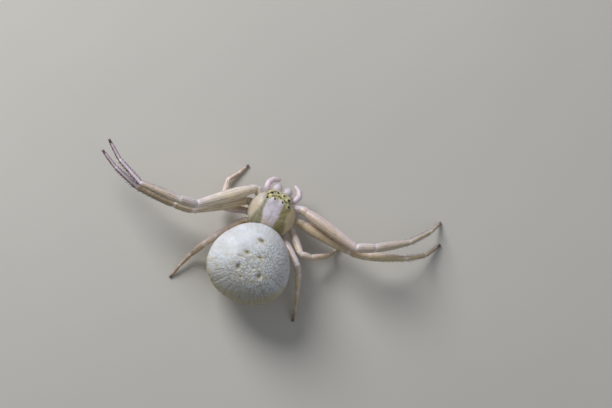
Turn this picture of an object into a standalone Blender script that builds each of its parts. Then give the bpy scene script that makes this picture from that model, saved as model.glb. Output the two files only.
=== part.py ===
"""A female crab spider, life size, in an ambush pose: standing on six feet, with the two left front
legs held out in the air.

The design is in millimetres and each mesh is made in metres. The spider faces -Y, its left is +X, and
the floor that its feet stand on is Z = 0.
"""

import math

import bpy
from mathutils import Vector
from mathutils.bvhtree import BVHTree

METRES = 0.001
TURN = 2 * math.pi

# Clearances
# The whole animal is about 9 mm long, so its pieces stand a tenth of a millimetre apart.
GAP = 0.10
EYE_GAP = 0.03
# A height above the whole animal, and a length past the foot of any limb, from which surfaces are looked for
ABOVE_ALL = 6.0
PAST_ROOT = 1.2

# Cephalothorax: carapace above its margin, coxal region and sternum below it
CARAPACE_LENGTH = 3.30
CARAPACE_WIDTH = 3.34
HEAD_WIDTH = 1.90
CARAPACE_RISE = 1.25
STERNUM_DROP = 0.92
MARGIN_HEIGHT = 1.98
CARAPACE_PITCH = math.radians(5)
# Reach of the round thorax before and behind the middle, as a share of the length
THORAX_AHEAD = 0.44
THORAX_BEHIND = 0.48
# Rounding of the sides: 1 is round, less is squarer
THORAX_ROUND = 0.88
HEAD_ROUND = 0.68
STERNUM_ROUND = 0.95
CARAPACE_COLUMNS = 52
CARAPACE_RINGS = 28

# Abdomen
ABDOMEN_LENGTH = 5.72
ABDOMEN_WIDTH = 5.86
ABDOMEN_EGG = 0.09
ABDOMEN_RISE = 2.25
ABDOMEN_DROP = 2.15
ABDOMEN_CENTRE = Vector((-0.07, 4.00, 2.72))
# How much lower the abdomen hangs with each millimetre towards the back, and the rounding of its sides
ABDOMEN_SLOPE = 0.05
ABDOMEN_ROUND = 0.95
ABDOMEN_COLUMNS = 56
ABDOMEN_RINGS = 36
# Muscle pits of the back: place from the abdomen's centre, radius and depth
PITS = (
    (0.00, -1.62, 0.24, 0.14),
    (-0.60, -0.42, 0.22, 0.12),
    (0.60, -0.42, 0.22, 0.12),
    (-0.83, 0.76, 0.26, 0.14),
    (0.83, 0.76, 0.26, 0.14),
)

# Waist and spinnerets
PEDICEL_HEIGHT = 1.72
PEDICEL_RADIUS = 0.27
# Depth and radius of the dimple of the abdomen that the waist ends in
PEDICEL_ROOM = 0.34
PEDICEL_ROOM_RADIUS = 0.70
SPINNERET_WAY = Vector((0, 0.74, -0.67)).normalized()
SPINNERET_MOUND = 0.36
SPINNERET_LENGTH = 0.34
SPINNERET_RADIUS = 0.16
SPINNERET_SPACING = 0.15

# Legs, front pair first: lengths of femur, patella, tibia, metatarsus and tarsus
SEGMENTS = ("femur", "patella", "tibia", "metatarsus", "tarsus")
LENGTHS = {
    1: (4.85, 1.40, 2.95, 2.20, 1.50),
    2: (4.15, 1.35, 2.85, 2.05, 1.40),
    3: (2.05, 0.85, 1.60, 1.00, 0.75),
    4: (2.50, 0.90, 1.65, 1.10, 1.00),
}
# The point inside the left of the body that each coxa comes from
COXA_ORIGINS = {
    1: Vector((0.40, -0.34, 1.52)),
    2: Vector((0.45, -0.12, 1.42)),
    3: Vector((0.45, 0.32, 1.34)),
    4: Vector((0.36, 0.84, 1.36)),
}
# Radius of each segment at shares of its length
FRONT_RADII = {
    "coxa": ((0.0, 0.27), (0.6, 0.28), (1.0, 0.25)),
    "femur": ((0.0, 0.25), (0.10, 0.34), (0.35, 0.43), (0.70, 0.38), (0.93, 0.31), (1.0, 0.27)),
    "patella": ((0.0, 0.27), (0.25, 0.32), (0.70, 0.32), (1.0, 0.26)),
    "tibia": ((0.0, 0.26), (0.15, 0.31), (0.45, 0.31), (0.85, 0.26), (1.0, 0.24)),
    "metatarsus": ((0.0, 0.24), (0.15, 0.25), (0.60, 0.24), (1.0, 0.22)),
    "tarsus": ((0.0, 0.21), (0.30, 0.20), (0.80, 0.16), (1.0, 0.12)),
}
REAR_RADII = {
    "coxa": ((0.0, 0.23), (0.6, 0.24), (1.0, 0.24)),
    "femur": ((0.0, 0.25), (0.15, 0.28), (0.40, 0.30), (0.75, 0.28), (1.0, 0.25)),
    "patella": ((0.0, 0.25), (0.40, 0.27), (1.0, 0.25)),
    "tibia": ((0.0, 0.25), (0.25, 0.27), (0.80, 0.25), (1.0, 0.24)),
    "metatarsus": ((0.0, 0.24), (0.50, 0.23), (1.0, 0.21)),
    "tarsus": ((0.0, 0.20), (0.40, 0.19), (0.80, 0.16), (1.0, 0.12)),
}
LEG_STOUTNESS = {1: 1.0, 2: 0.95, 3: 0.97, 4: 0.97}
FRONT_SIDES = 12
REAR_SIDES = 10
# Each bend is an arc this much wider than the limb, with a station for about so many degrees of turn
BEND_SPARE = 1.12
BEND_STEP = 28
TIP_BULGE = 0.6
FOOT_HEIGHT = 0.09
STANDING = "stands"
RAISED = "raised"
# Each leg's hip, where its femur starts, then the bearing and pitch of its segments in degrees: 0 points to
# the spider's left, 90 straight ahead. Where a leg stands, the pitch of its tarsus is found from the floor.
POSES = {
    ("left", 1): (RAISED, (1.72, -1.20, 2.08), ((-43, 18), (-13, 22), (-1, -9), (25, -11), (37, 0))),
    ("left", 2): (RAISED, (1.92, -0.21, 1.68), ((-37, 13), (-9, 2), (-1, -3), (18, -4), (28, -3))),
    ("left", 3): (STANDING, (1.74, 0.46, 1.28), ((-16, -3), (104, 0), (81, -30), (122, -12), (116, 0))),
    ("left", 4): (STANDING, (1.50, 1.14, 1.42), ((-55, 10), (-60, 4), (-62, -50), (-70, -14), (-76, 0))),
    ("right", 1): (STANDING, (-1.79, -1.22, 2.05), ((-167, 17), (154, -9), (143, -23), (127, -28), (115, 0))),
    ("right", 2): (STANDING, (-2.00, -0.36, 1.66), ((-175, 6), (172, 7), (156, -11), (142, -35), (120, 0))),
    ("right", 3): (STANDING, (-1.75, 0.28, 1.42), ((-133, 20), (172, -20), (144, -33), (120, -48), (118, 0))),
    ("right", 4): (
        STANDING, (-1.41, 1.03, 1.45), ((-138, 29), (-138, -50), (-116, -36), (-112, -27), (-107, 0)),
    ),
}

# Palps: joints on each side, from the mouth outwards, and their radii
PALP_SIDES = 10
PALP_RADII = (0.20, 0.22, 0.23, 0.22, 0.19)
PALPS = {
    "left": (
        (0.52, -1.12, 1.40),
        (1.07, -1.64, 1.76),
        (1.10, -2.03, 1.70),
        (0.86, -2.38, 1.56),
        (0.44, -2.55, 1.40),
    ),
    "right": (
        (-0.54, -1.12, 1.40),
        (-1.16, -1.64, 1.76),
        (-1.31, -2.00, 1.70),
        (-1.14, -2.36, 1.54),
        (-0.76, -2.62, 1.36),
    ),
}

# Chelicerae: the line midway between them, and the path of the left one from the face to its fang's tip
CHELICERA_SIDES = 12
CHELICERA_MIDDLE = -0.07
CHELICERA_PATH = (
    (0.34, -1.20, 2.08),
    (0.40, -1.80, 1.86),
    (0.40, -2.05, 1.40),
    (0.33, -2.03, 1.00),
    (0.18, -1.90, 0.80),
)
CHELICERA_RADII = (0.27, 0.29, 0.28, 0.20, 0.05)

# Eyes of the left side: distance from the midline, distance ahead of the middle of the carapace, radius
EYE_STEPS = 4
EYE_SIDES = 10
EYE_BULGE = 0.85
EYES = {
    "eye_front_middle": (0.235, 1.380, 0.085),
    "eye_front_outer": (0.655, 1.205, 0.115),
    "eye_rear_middle": (0.300, 0.870, 0.085),
    "eye_rear_outer": (0.825, 0.770, 0.100),
}
EYE_HUMP_HEIGHT = 0.07
EYE_HUMP_RADIUS = 0.19

# Colours, linear, with roughness
FINISHES = {
    "abdomen_white": ((0.78, 0.77, 0.70), 0.55),
    "carapace_cream": ((0.62, 0.58, 0.44), 0.40),
    "leg_cream": ((0.70, 0.64, 0.50), 0.40),
    "eye_black": ((0.015, 0.012, 0.012), 0.12),
}


def clear_scene():
    for obj in list(bpy.data.objects):
        bpy.data.objects.remove(obj)


def finish_named(name):
    """The Principled material of that name, made the first time it is asked for."""
    found = bpy.data.materials.get(name)
    if found:
        return found
    colour, roughness = FINISHES[name]
    material = bpy.data.materials.new(name)
    material.use_nodes = True
    shader = material.node_tree.nodes["Principled BSDF"]
    shader.inputs["Base Color"].default_value = (*colour, 1)
    shader.inputs["Roughness"].default_value = roughness
    shader.inputs["Metallic"].default_value = 0
    return material


def mesh_object(name, points, faces, finish, origin=None):
    """An object from points in millimetres. Its origin is the first point unless one is given."""
    origin = Vector(points[0]) if origin is None else origin
    mesh = bpy.data.meshes.new(name)
    mesh.from_pydata([(Vector(p) - origin) * METRES for p in points], [], faces)
    mesh.materials.append(finish_named(finish))
    mesh.shade_smooth()
    obj = bpy.data.objects.new(name, mesh)
    obj.location = origin * METRES
    bpy.context.scene.collection.objects.link(obj)
    return obj


def ring_faces(rings, sides):
    """Faces of a closed skin of point rings, with one point before the first ring and one after the last."""
    last = 1 + rings * sides
    faces = []
    for i in range(sides):
        j = (i + 1) % sides
        faces.append((0, 1 + j, 1 + i))
        for k in range(rings - 1):
            low, high = 1 + k * sides, 1 + (k + 1) * sides
            faces.append((low + i, low + j, high + j, high + i))
        foot = 1 + (rings - 1) * sides
        faces.append((foot + i, foot + j, last))
    return faces


def surface_of(points, faces):
    """A tree for finding this surface along a line, in millimetres."""
    triangles = [(f[0], f[k], f[k + 1]) for f in faces for k in range(1, len(f) - 1)]
    return BVHTree.FromPolygons([Vector(p) for p in points], triangles)


def smooth_between(low, high, value):
    """0 below low, 1 above high, and a smooth step in between."""
    share = min(1.0, max(0.0, (value - low) / (high - low)))
    return share * share * (3 - 2 * share)


def power_of(value, exponent):
    """A signed power, for rounded-box curves."""
    return math.copysign(abs(value) ** exponent, value)


def carapace_outline(angle):
    """Radius of the carapace's margin at an angle from straight ahead: a round thorax with a squarer head."""
    side, ahead = abs(math.sin(angle)), math.cos(angle)
    reach = (THORAX_AHEAD if ahead > 0 else THORAX_BEHIND) * CARAPACE_LENGTH
    thorax = 1 / math.hypot(side / (CARAPACE_WIDTH / 2), ahead / reach)
    if ahead <= 0:
        return thorax
    corner = 4.5
    head = ((side / (HEAD_WIDTH / 2)) ** corner + (ahead / (CARAPACE_LENGTH / 2)) ** corner) ** (-1 / corner)
    blend = 14
    return (thorax**blend + head**blend) ** (1 / blend)


def eye_places():
    """Node name, x and y of all eight eyes, left ones first, and the radius of each."""
    places = []
    for side, sign in (("left", 1), ("right", -1)):
        for name, (out, ahead, radius) in EYES.items():
            places.append((f"{name}_{side}", sign * out, -ahead, radius))
    return places


def carapace_point(turn, drop):
    """A point of the cephalothorax. turn runs once round from straight ahead, with the columns crowded
    towards the face, and drop runs from top to bottom."""
    crowding = 0.42
    angle = TURN * turn - crowding * math.sin(TURN * turn)
    fall = math.pi * drop
    front = smooth_between(-0.2, 0.9, math.cos(angle))
    over, under = math.sin(fall), math.cos(fall)
    roundness = THORAX_ROUND + (HEAD_ROUND - THORAX_ROUND) * front if under > 0 else STERNUM_ROUND
    reach = carapace_outline(angle) * over**roundness
    height = (CARAPACE_RISE if under > 0 else STERNUM_DROP) * power_of(under, roundness)
    x, y = reach * math.sin(angle), -reach * math.cos(angle)
    tilted_y = y * math.cos(CARAPACE_PITCH) + height * math.sin(CARAPACE_PITCH)
    tilted_z = height * math.cos(CARAPACE_PITCH) - y * math.sin(CARAPACE_PITCH)
    point = Vector((x, tilted_y, MARGIN_HEIGHT + tilted_z))
    if under > 0:
        for _, eye_x, eye_y, _ in eye_places():
            near = ((x - eye_x) ** 2 + (tilted_y - eye_y) ** 2) / EYE_HUMP_RADIUS**2
            outward = Vector((0.5 * x, tilted_y, 1.4)).normalized()
            point += outward * (EYE_HUMP_HEIGHT * math.exp(-near))
    return point


def carapace_keeps(x, z):
    """How far back the abdomen leaves room for the cephalothorax and the waist at this width and height."""
    rise = (CARAPACE_RISE if z > MARGIN_HEIGHT else STERNUM_DROP) + GAP
    wide = x / (CARAPACE_WIDTH / 2 + GAP)
    tall = (z - MARGIN_HEIGHT) / rise
    inside = max(0.0, 1 - wide * wide - tall * tall)
    off_waist = (x * x + (z - PEDICEL_HEIGHT) ** 2) / PEDICEL_ROOM_RADIUS**2
    dimple = PEDICEL_ROOM * math.exp(-off_waist)
    return (0.50 * CARAPACE_LENGTH + 2 * GAP) * math.sqrt(inside) + dimple


def abdomen_point(turn, drop):
    """A point of the abdomen: a fat round sac, wider behind and hollowed where the carapace tucks in."""
    angle, fall = TURN * turn, math.pi * drop
    over, under = math.sin(fall), math.cos(fall)
    reach = over**ABDOMEN_ROUND
    egg = ABDOMEN_EGG * math.cos(3 * angle) * reach
    x = (reach * ABDOMEN_WIDTH / 2 + egg) * math.sin(angle)
    y = -(reach * ABDOMEN_LENGTH / 2 + egg) * math.cos(angle)
    z = (ABDOMEN_RISE if under > 0 else ABDOMEN_DROP) * power_of(under, ABDOMEN_ROUND)
    if under > 0:
        for pit_x, pit_y, radius, depth in PITS:
            near = ((x - pit_x) ** 2 + (y - pit_y) ** 2) / radius**2
            z -= depth * math.exp(-near)
    point = ABDOMEN_CENTRE + Vector((x, y, z - ABDOMEN_SLOPE * y))
    kept = carapace_keeps(point.x, point.z)
    softness = 0.12
    point.y = 0.5 * (point.y + kept + math.hypot(point.y - kept, softness))
    return point


def polar_skin(point_at, columns, rings):
    """Points and faces of a closed body from point_at(turn, drop), with the poles at top and bottom."""
    points = [point_at(0, 0)]
    for k in range(1, rings):
        points += [point_at(1 - i / columns, k / rings) for i in range(columns)]
    points.append(point_at(0, 1))
    return points, ring_faces(rings - 1, columns)


def radius_along(table, share):
    """Straight-line reading of a table of (share, radius)."""
    for (a, low), (b, high) in zip(table, table[1:]):
        if share <= b:
            return low + (high - low) * (share - a) / (b - a)
    return table[-1][1]


def direction_of(bearing, pitch):
    """Unit vector for a bearing, 0 to the left and 90 ahead, and a pitch above the floor, in degrees."""
    turn, rise = math.radians(bearing), math.radians(pitch)
    return Vector((math.cos(rise) * math.cos(turn), -math.cos(rise) * math.sin(turn), math.sin(rise)))


def rounded_path(corners, tables):
    """Stations (place, direction, radius) along a jointed limb.

    corners are its joints, and tables gives each length between them as (share, radius) rows. Each corner
    is rounded by an arc wider than the limb, so that the tube doesn't fold into itself.
    """
    lengths = [(b - a).length for a, b in zip(corners, corners[1:])]
    ways = [(b - a).normalized() for a, b in zip(corners, corners[1:])]
    trims = [0.0]
    for k in range(1, len(corners) - 1):
        bend = ways[k - 1].angle(ways[k])
        radius = BEND_SPARE * tables[k][0][1]
        longest = 0.45 * min(lengths[k - 1], lengths[k])
        trims.append(min(radius * math.tan(bend / 2), longest))
    trims.append(0.0)
    stations = []
    for k, (length, way) in enumerate(zip(lengths, ways)):
        low, high = trims[k] / length, 1 - trims[k + 1] / length
        shares = [s for s, _ in tables[k] if low + 0.06 < s < high - 0.06]
        for share in [low, *shares, high]:
            place = corners[k] + way * (length * share)
            stations.append((place, way.copy(), radius_along(tables[k], share)))
        if k + 1 < len(lengths):
            stations += corner_arc(corners[k + 1], way, ways[k + 1], trims[k + 1], tables[k + 1][0][1])
    return stations


def corner_arc(corner, way_in, way_out, trim, radius):
    """Stations inside a rounded corner."""
    bend = math.degrees(way_in.angle(way_out))
    count = max(1, round(bend / BEND_STEP))
    start, end = corner - way_in * trim, corner + way_out * trim
    arc = []
    for i in range(1, count):
        t = i / count
        place = start * (1 - t) ** 2 + corner * (2 * t * (1 - t)) + end * t**2
        way = (way_in * (1 - t) + way_out * t).normalized()
        arc.append((place, way, radius))
    return arc


def tube_rings(stations, sides):
    """Rings of points across the stations, each ring turned as little as possible from the one before."""
    rings = []
    across = None
    for place, way, radius in stations:
        if across is None:
            across = way.cross(Vector((0, 0, 1)) if abs(way.z) < 0.9 else Vector((0, 1, 0)))
        across = (across - way * across.dot(way)).normalized()
        other = way.cross(across)
        ring = []
        for i in range(sides):
            turn = TURN * i / sides
            ring.append(place + (across * math.cos(turn) + other * math.sin(turn)) * radius)
        rings.append(ring)
    return rings


def outward_hit(body, start, way):
    """Where a line meets a body, and the body's outward normal there."""
    place, normal, _, _ = body.ray_cast(start, way)
    if place is None:
        place, normal, _, _ = body.find_nearest(start + way)
    return place, normal if normal.dot(way) < 0 else -normal


def seated(point, way, body):
    """A point of a limb's root, slid back along the limb until it lies GAP off the body."""
    place, normal = outward_hit(body, point + way * PAST_ROOT, -way)
    return place + normal * GAP


def kept_clear(point, body):
    """The point itself, or a place off the body where it would come so near that a face between it and its
    neighbours could cut the gap."""
    clearance = 1.4 * GAP
    place, normal, _, _ = body.find_nearest(point)
    return point if (point - place).dot(normal) >= clearance else place + normal * clearance


def tube_object(name, stations, sides, finish, root_body=None, foot=False, end_body=None):
    """A closed tube with a rounded tip. Its root lies face to face with root_body, and so does its end with
    end_body if one is given. With foot, nothing reaches below the floor, which makes a small flat."""
    rings = tube_rings(stations, sides)
    start, way_in, _ = stations[0]
    end, way_out, end_radius = stations[-1]
    middle, tip = start, end + way_out * (TIP_BULGE * end_radius)
    if root_body:
        middle = seated(start, way_in, root_body)
        rings[0] = [seated(p, way_in, root_body) for p in rings[0]]
        rings[1:4] = [[kept_clear(p, root_body) for p in ring] for ring in rings[1:4]]
    if end_body:
        tip = seated(end, -way_out, end_body)
        rings[-1] = [seated(p, -way_out, end_body) for p in rings[-1]]
        rings[-2] = [kept_clear(p, end_body) for p in rings[-2]]
    points = [middle, *[p for ring in rings for p in ring], tip]
    if foot:
        for p in points:
            p.z = max(p.z, 0.0)
    return mesh_object(name, points, ring_faces(len(rings), sides), finish)


def mirrored(point, sign):
    return Vector((point.x * sign, point.y, point.z))


def make_leg(side, pair, body):
    """One leg: coxa and trochanter up to the hip, then five segments along their bearings and pitches."""
    stance, hip, angles = POSES[side, pair]
    hip = Vector(hip)
    origin = mirrored(COXA_ORIGINS[pair], 1 if side == "left" else -1)
    root, _ = outward_hit(body, hip, (origin - hip).normalized())
    corners = [root, hip]
    for length, (bearing, pitch) in zip(LENGTHS[pair][:-1], angles[:-1]):
        corners.append(corners[-1] + direction_of(bearing, pitch) * length)
    bearing, pitch = angles[-1]
    if stance == STANDING:
        pitch = math.degrees(math.asin((FOOT_HEIGHT - corners[-1].z) / LENGTHS[pair][-1]))
    corners.append(corners[-1] + direction_of(bearing, pitch) * LENGTHS[pair][-1])
    radii = FRONT_RADII if pair <= 2 else REAR_RADII
    stout = LEG_STOUTNESS[pair]
    tables = [[(s, r * stout) for s, r in radii[part]] for part in ("coxa", *SEGMENTS)]
    stations = rounded_path(corners, tables)
    sides = FRONT_SIDES if pair <= 2 else REAR_SIDES
    return tube_object(f"leg_{pair}_{side}", stations, sides, "leg_cream", body, foot=stance == STANDING)


def make_palp(side, body):
    """A feeler beside the mouth, bent forwards and in."""
    corners = [Vector(p) for p in PALPS[side]]
    corners[0], _ = outward_hit(body, corners[1], (corners[0] - corners[1]).normalized())
    tables = []
    for low, high in zip(PALP_RADII, PALP_RADII[1:]):
        tables.append([(0.0, low), (0.5, 0.5 * (low + high)), (1.0, high)])
    stations = rounded_path(corners, tables)
    return tube_object(f"palp_{side}", stations, PALP_SIDES, "leg_cream", body)


def make_chelicera(side, body):
    """A jaw that hangs from the face and ends in a short fang that folds in."""
    sign = 1 if side == "left" else -1
    corners = [Vector((CHELICERA_MIDDLE + sign * x, y, z)) for x, y, z in CHELICERA_PATH]
    corners[0], _ = outward_hit(body, corners[1], (corners[0] - corners[1]).normalized())
    tables = []
    for low, high in zip(CHELICERA_RADII, CHELICERA_RADII[1:]):
        tables.append([(0.0, low), (0.5, 0.5 * (low + high)), (1.0, high)])
    stations = rounded_path(corners, tables)
    return tube_object(f"chelicera_{side}", stations, CHELICERA_SIDES, "leg_cream", body)


def make_pedicel(front, back):
    """The short waist, face to face with the cephalothorax in front and the abdomen behind."""
    way = Vector((0, 1, 0))
    start, _ = outward_hit(front, Vector((ABDOMEN_CENTRE.x / 2, 4.0, PEDICEL_HEIGHT)), -way)
    end, _ = outward_hit(back, start, way)
    middle = (start + end) / 2
    stations = [
        (start, way, PEDICEL_RADIUS),
        (middle, way, 0.94 * PEDICEL_RADIUS),
        (end, way, PEDICEL_RADIUS),
    ]
    return tube_object("pedicel", stations, 12, "carapace_cream", front, end_body=back)


def make_eye(name, x, y, radius, body):
    """A dome that sits on its hump, its flat back facing the carapace."""
    place, normal = outward_hit(body, Vector((x, y, ABOVE_ALL)), Vector((0, 0, -1)))
    across = normal.orthogonal().normalized()
    other = normal.cross(across)
    base = place + normal * EYE_GAP
    points = [base]
    for k in range(EYE_STEPS):
        lift = math.radians(90) * k / EYE_STEPS
        for i in range(EYE_SIDES):
            turn = TURN * i / EYE_SIDES
            spoke = across * math.cos(turn) + other * math.sin(turn)
            dome = normal * (EYE_BULGE * radius * math.sin(lift))
            points.append(base + spoke * (radius * math.cos(lift)) + dome)
    points.append(base + normal * (EYE_BULGE * radius))
    return mesh_object(name, points, ring_faces(EYE_STEPS, EYE_SIDES), "eye_black")


def fuse(name, pieces, finish):
    """One closed body from overlapping closed ones, by a Boolean union that is applied."""
    others = bpy.data.collections.new(name + "_pieces")
    first, *rest = pieces
    for piece in rest:
        bpy.context.scene.collection.objects.unlink(piece)
        others.objects.link(piece)
    union = first.modifiers.new("union", "BOOLEAN")
    union.operation = "UNION"
    union.operand_type = "COLLECTION"
    union.collection = others
    union.solver = "EXACT"
    bpy.context.view_layer.update()
    graph = bpy.context.evaluated_depsgraph_get()
    mesh = bpy.data.meshes.new_from_object(first.evaluated_get(graph))
    place = first.location.copy()
    for piece in pieces:
        bpy.data.objects.remove(piece)
    bpy.data.collections.remove(others)
    fused = bpy.data.objects.new(name, mesh)
    fused.location = place
    mesh.name = name
    mesh.materials.clear()
    mesh.materials.append(finish_named(finish))
    bpy.context.scene.collection.objects.link(fused)
    return fused


def make_spinnerets(abdomen):
    """Two pairs of small cones on one low mound under the hind end of the abdomen."""
    out = SPINNERET_WAY
    seat, _ = outward_hit(abdomen, ABDOMEN_CENTRE + out * ABOVE_ALL, -out)
    across = Vector((1, 0, 0))
    up = out.cross(across)
    mound_height = 0.20
    mound = [(seat, out, SPINNERET_MOUND), (seat + out * mound_height, out, 0.92 * SPINNERET_MOUND)]
    pieces = [tube_object("mound", mound, 12, "leg_cream", abdomen)]
    for side in (1, -1):
        for row, length in ((-1, 1.0), (1, 0.85)):
            sideways, upwards = across * (side * SPINNERET_SPACING), up * (row * SPINNERET_SPACING)
            root = seat + out * (0.7 * mound_height) + sideways + upwards
            way = (out - sideways - 0.8 * upwards).normalized()
            reach = SPINNERET_LENGTH * length
            stations = [
                (root, way, SPINNERET_RADIUS),
                (root + way * (0.6 * reach), way, 0.92 * SPINNERET_RADIUS),
                (root + way * reach, way, 0.60 * SPINNERET_RADIUS),
            ]
            pieces.append(tube_object("cone", stations, 8, "leg_cream"))
    return fuse("spinnerets", pieces, "leg_cream")


def centre_on_floor(objects):
    """Hangs every object on one empty, placed so that the origin is the middle of the outline from above."""
    corners = [obj.location + v.co for obj in objects for v in obj.data.vertices]
    middle_x = (min(c.x for c in corners) + max(c.x for c in corners)) / 2
    middle_y = (min(c.y for c in corners) + max(c.y for c in corners)) / 2
    spider = bpy.data.objects.new("crab_spider", None)
    spider.empty_display_size = METRES
    spider.location = (-middle_x, -middle_y, 0)
    bpy.context.scene.collection.objects.link(spider)
    for obj in objects:
        obj.parent = spider


def main():
    clear_scene()
    carapace_points, carapace_faces = polar_skin(carapace_point, CARAPACE_COLUMNS, CARAPACE_RINGS)
    abdomen_points, abdomen_faces = polar_skin(abdomen_point, ABDOMEN_COLUMNS, ABDOMEN_RINGS)
    carapace = surface_of(carapace_points, carapace_faces)
    abdomen = surface_of(abdomen_points, abdomen_faces)
    carapace_middle = Vector((0, 0, MARGIN_HEIGHT))
    made = [
        mesh_object("cephalothorax", carapace_points, carapace_faces, "carapace_cream", carapace_middle),
        mesh_object("abdomen", abdomen_points, abdomen_faces, "abdomen_white", ABDOMEN_CENTRE),
        make_pedicel(carapace, abdomen),
        make_spinnerets(abdomen),
    ]
    for side in ("left", "right"):
        made += [make_leg(side, pair, carapace) for pair in LENGTHS]
        made.append(make_palp(side, carapace))
        made.append(make_chelicera(side, carapace))
    made += [make_eye(name, x, y, radius, carapace) for name, x, y, radius in eye_places()]
    centre_on_floor(made)


main()
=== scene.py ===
"""The looks of a female crab spider in an ambush pose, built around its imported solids.

The design is in millimetres, in axes where the spider faces -Y, its left is +X and the floor is Z = 0.
Every mesh is made in metres and moved by SHIFT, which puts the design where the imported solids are.
"""

import math
import random
from collections import namedtuple

import bpy
import numpy as np
from mathutils import Matrix, Vector, noise
from mathutils.bvhtree import BVHTree
from mathutils.kdtree import KDTree


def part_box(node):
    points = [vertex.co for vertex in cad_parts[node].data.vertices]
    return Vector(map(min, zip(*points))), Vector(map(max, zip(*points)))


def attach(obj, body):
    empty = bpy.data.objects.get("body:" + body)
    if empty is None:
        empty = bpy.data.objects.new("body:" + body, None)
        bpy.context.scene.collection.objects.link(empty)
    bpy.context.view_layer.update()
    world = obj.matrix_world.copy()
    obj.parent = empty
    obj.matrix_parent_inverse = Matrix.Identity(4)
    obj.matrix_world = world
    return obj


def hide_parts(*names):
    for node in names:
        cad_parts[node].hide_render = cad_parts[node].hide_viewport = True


# A closed surface of the body in millimetres, with a row of facts for each of its points
Piece = namedtuple("Piece", "name points faces rows")
# A place along a limb, with the limb's direction and radius there, and its segment and share of the segment
Station = namedtuple("Station", "place way radius share")

METRES = 0.001
TURN = 2 * math.pi
SIDES_OF_BODY = (("left", 1), ("right", -1))
FORWARD = Vector((0, -1, 0))
UP = Vector((0, 0, 1))

# Cephalothorax: carapace above its margin, coxal region and sternum below it
CARAPACE_LENGTH = 3.30
CARAPACE_WIDTH = 3.34
HEAD_WIDTH = 1.90
CARAPACE_RISE = 1.25
STERNUM_DROP = 0.92
MARGIN_HEIGHT = 1.98
CARAPACE_PITCH = math.radians(5)
THORAX_AHEAD = 0.44
THORAX_BEHIND = 0.48
THORAX_ROUND = 0.88
HEAD_ROUND = 0.68
STERNUM_ROUND = 0.95
CARAPACE_COLUMNS = 180
CARAPACE_RINGS = 100
# How strongly the columns of points are crowded towards the face
FACE_CROWDING = 0.42
# Rim of the carapace and groove below it: how far they stand out, then the height, as a cosine of the way
# down from the top, and half the width
MARGIN_RIDGES = ((0.035, 0.06, 0.07), (-0.060, -0.14, 0.09))
# The sternum's edge, a heart-shaped line inside the legs' roots: its half width, half length and middle, and
# its own half width, as a share of them, and height
STERNUM_EDGE = (0.82, 1.05, 0.05, 0.10, 0.045)
# Grooves of the carapace: two ends on the left, depth and half width
CARAPACE_GROOVES = (
    ((0.98, -0.52), (0.30, 0.20), 0.030, 0.085),
    ((1.30, 0.02), (0.36, 0.42), 0.016, 0.080),
    ((1.18, 0.74), (0.34, 0.62), 0.014, 0.080),
)
FOVEA = (0.0, 0.52, 0.16, 0.030)

# Abdomen
ABDOMEN_LENGTH = 5.72
ABDOMEN_WIDTH = 5.86
ABDOMEN_EGG = 0.09
ABDOMEN_RISE = 2.25
ABDOMEN_DROP = 2.15
ABDOMEN_CENTRE = Vector((-0.07, 4.00, 2.72))
ABDOMEN_SLOPE = 0.05
ABDOMEN_ROUND = 0.95
ABDOMEN_COLUMNS = 250
ABDOMEN_RINGS = 150
# How finely the radial creases divide the rim, and how softly the front is pressed in by the carapace
CREASES = 9.0
FRONT_SOFTNESS = 0.12
# Muscle pits of the back: place from the abdomen's centre, half width across and along, depth
PITS = (
    (0.02, -1.56, 0.30, 0.15, 0.17),
    (0.27, -1.26, 0.13, 0.11, 0.04),
    (0.60, -0.38, 0.20, 0.13, 0.12),
    (0.92, 0.05, 0.26, 0.09, 0.07),
    (-0.38, -0.42, 0.24, 0.10, 0.10),
    (0.76, 0.76, 0.17, 0.24, 0.14),
    (-0.85, 0.74, 0.18, 0.22, 0.14),
    (-0.26, 0.43, 0.10, 0.09, 0.07),
    (0.28, 1.33, 0.10, 0.09, 0.06),
)
# Depth from which a pit is fully dark
DARK_PIT_DEPTH = 0.12

# Waist and spinnerets
PEDICEL_HEIGHT = 1.72
PEDICEL_RADIUS = 0.27
SPINNERET_WAY = Vector((0, 0.74, -0.67)).normalized()
# Three pairs of cones: distance from the midline, height on the mound, length and radius
SPINNERETS = ((0.16, -0.19, 0.40, 0.125), (0.11, 0.02, 0.22, 0.075), (0.16, 0.20, 0.33, 0.115))
# Their thickness at shares of the length
SPINNERET_TAPER = ((0, 1.05), (0.3, 1.0), (0.62, 0.92), (0.68, 0.78), (1, 0.62))

# Legs, front pair first: lengths of femur, patella, tibia, metatarsus and tarsus
SEGMENTS = ("coxa", "femur", "patella", "tibia", "metatarsus", "tarsus")
LENGTHS = {
    1: (4.85, 1.40, 2.95, 2.20, 1.50),
    2: (4.15, 1.35, 2.85, 2.05, 1.40),
    3: (2.05, 0.85, 1.60, 1.00, 0.75),
    4: (2.50, 0.90, 1.65, 1.10, 1.00),
}
COXA_ORIGINS = {
    1: Vector((0.40, -0.34, 1.52)),
    2: Vector((0.45, -0.12, 1.42)),
    3: Vector((0.45, 0.32, 1.34)),
    4: Vector((0.36, 0.84, 1.36)),
}
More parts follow.
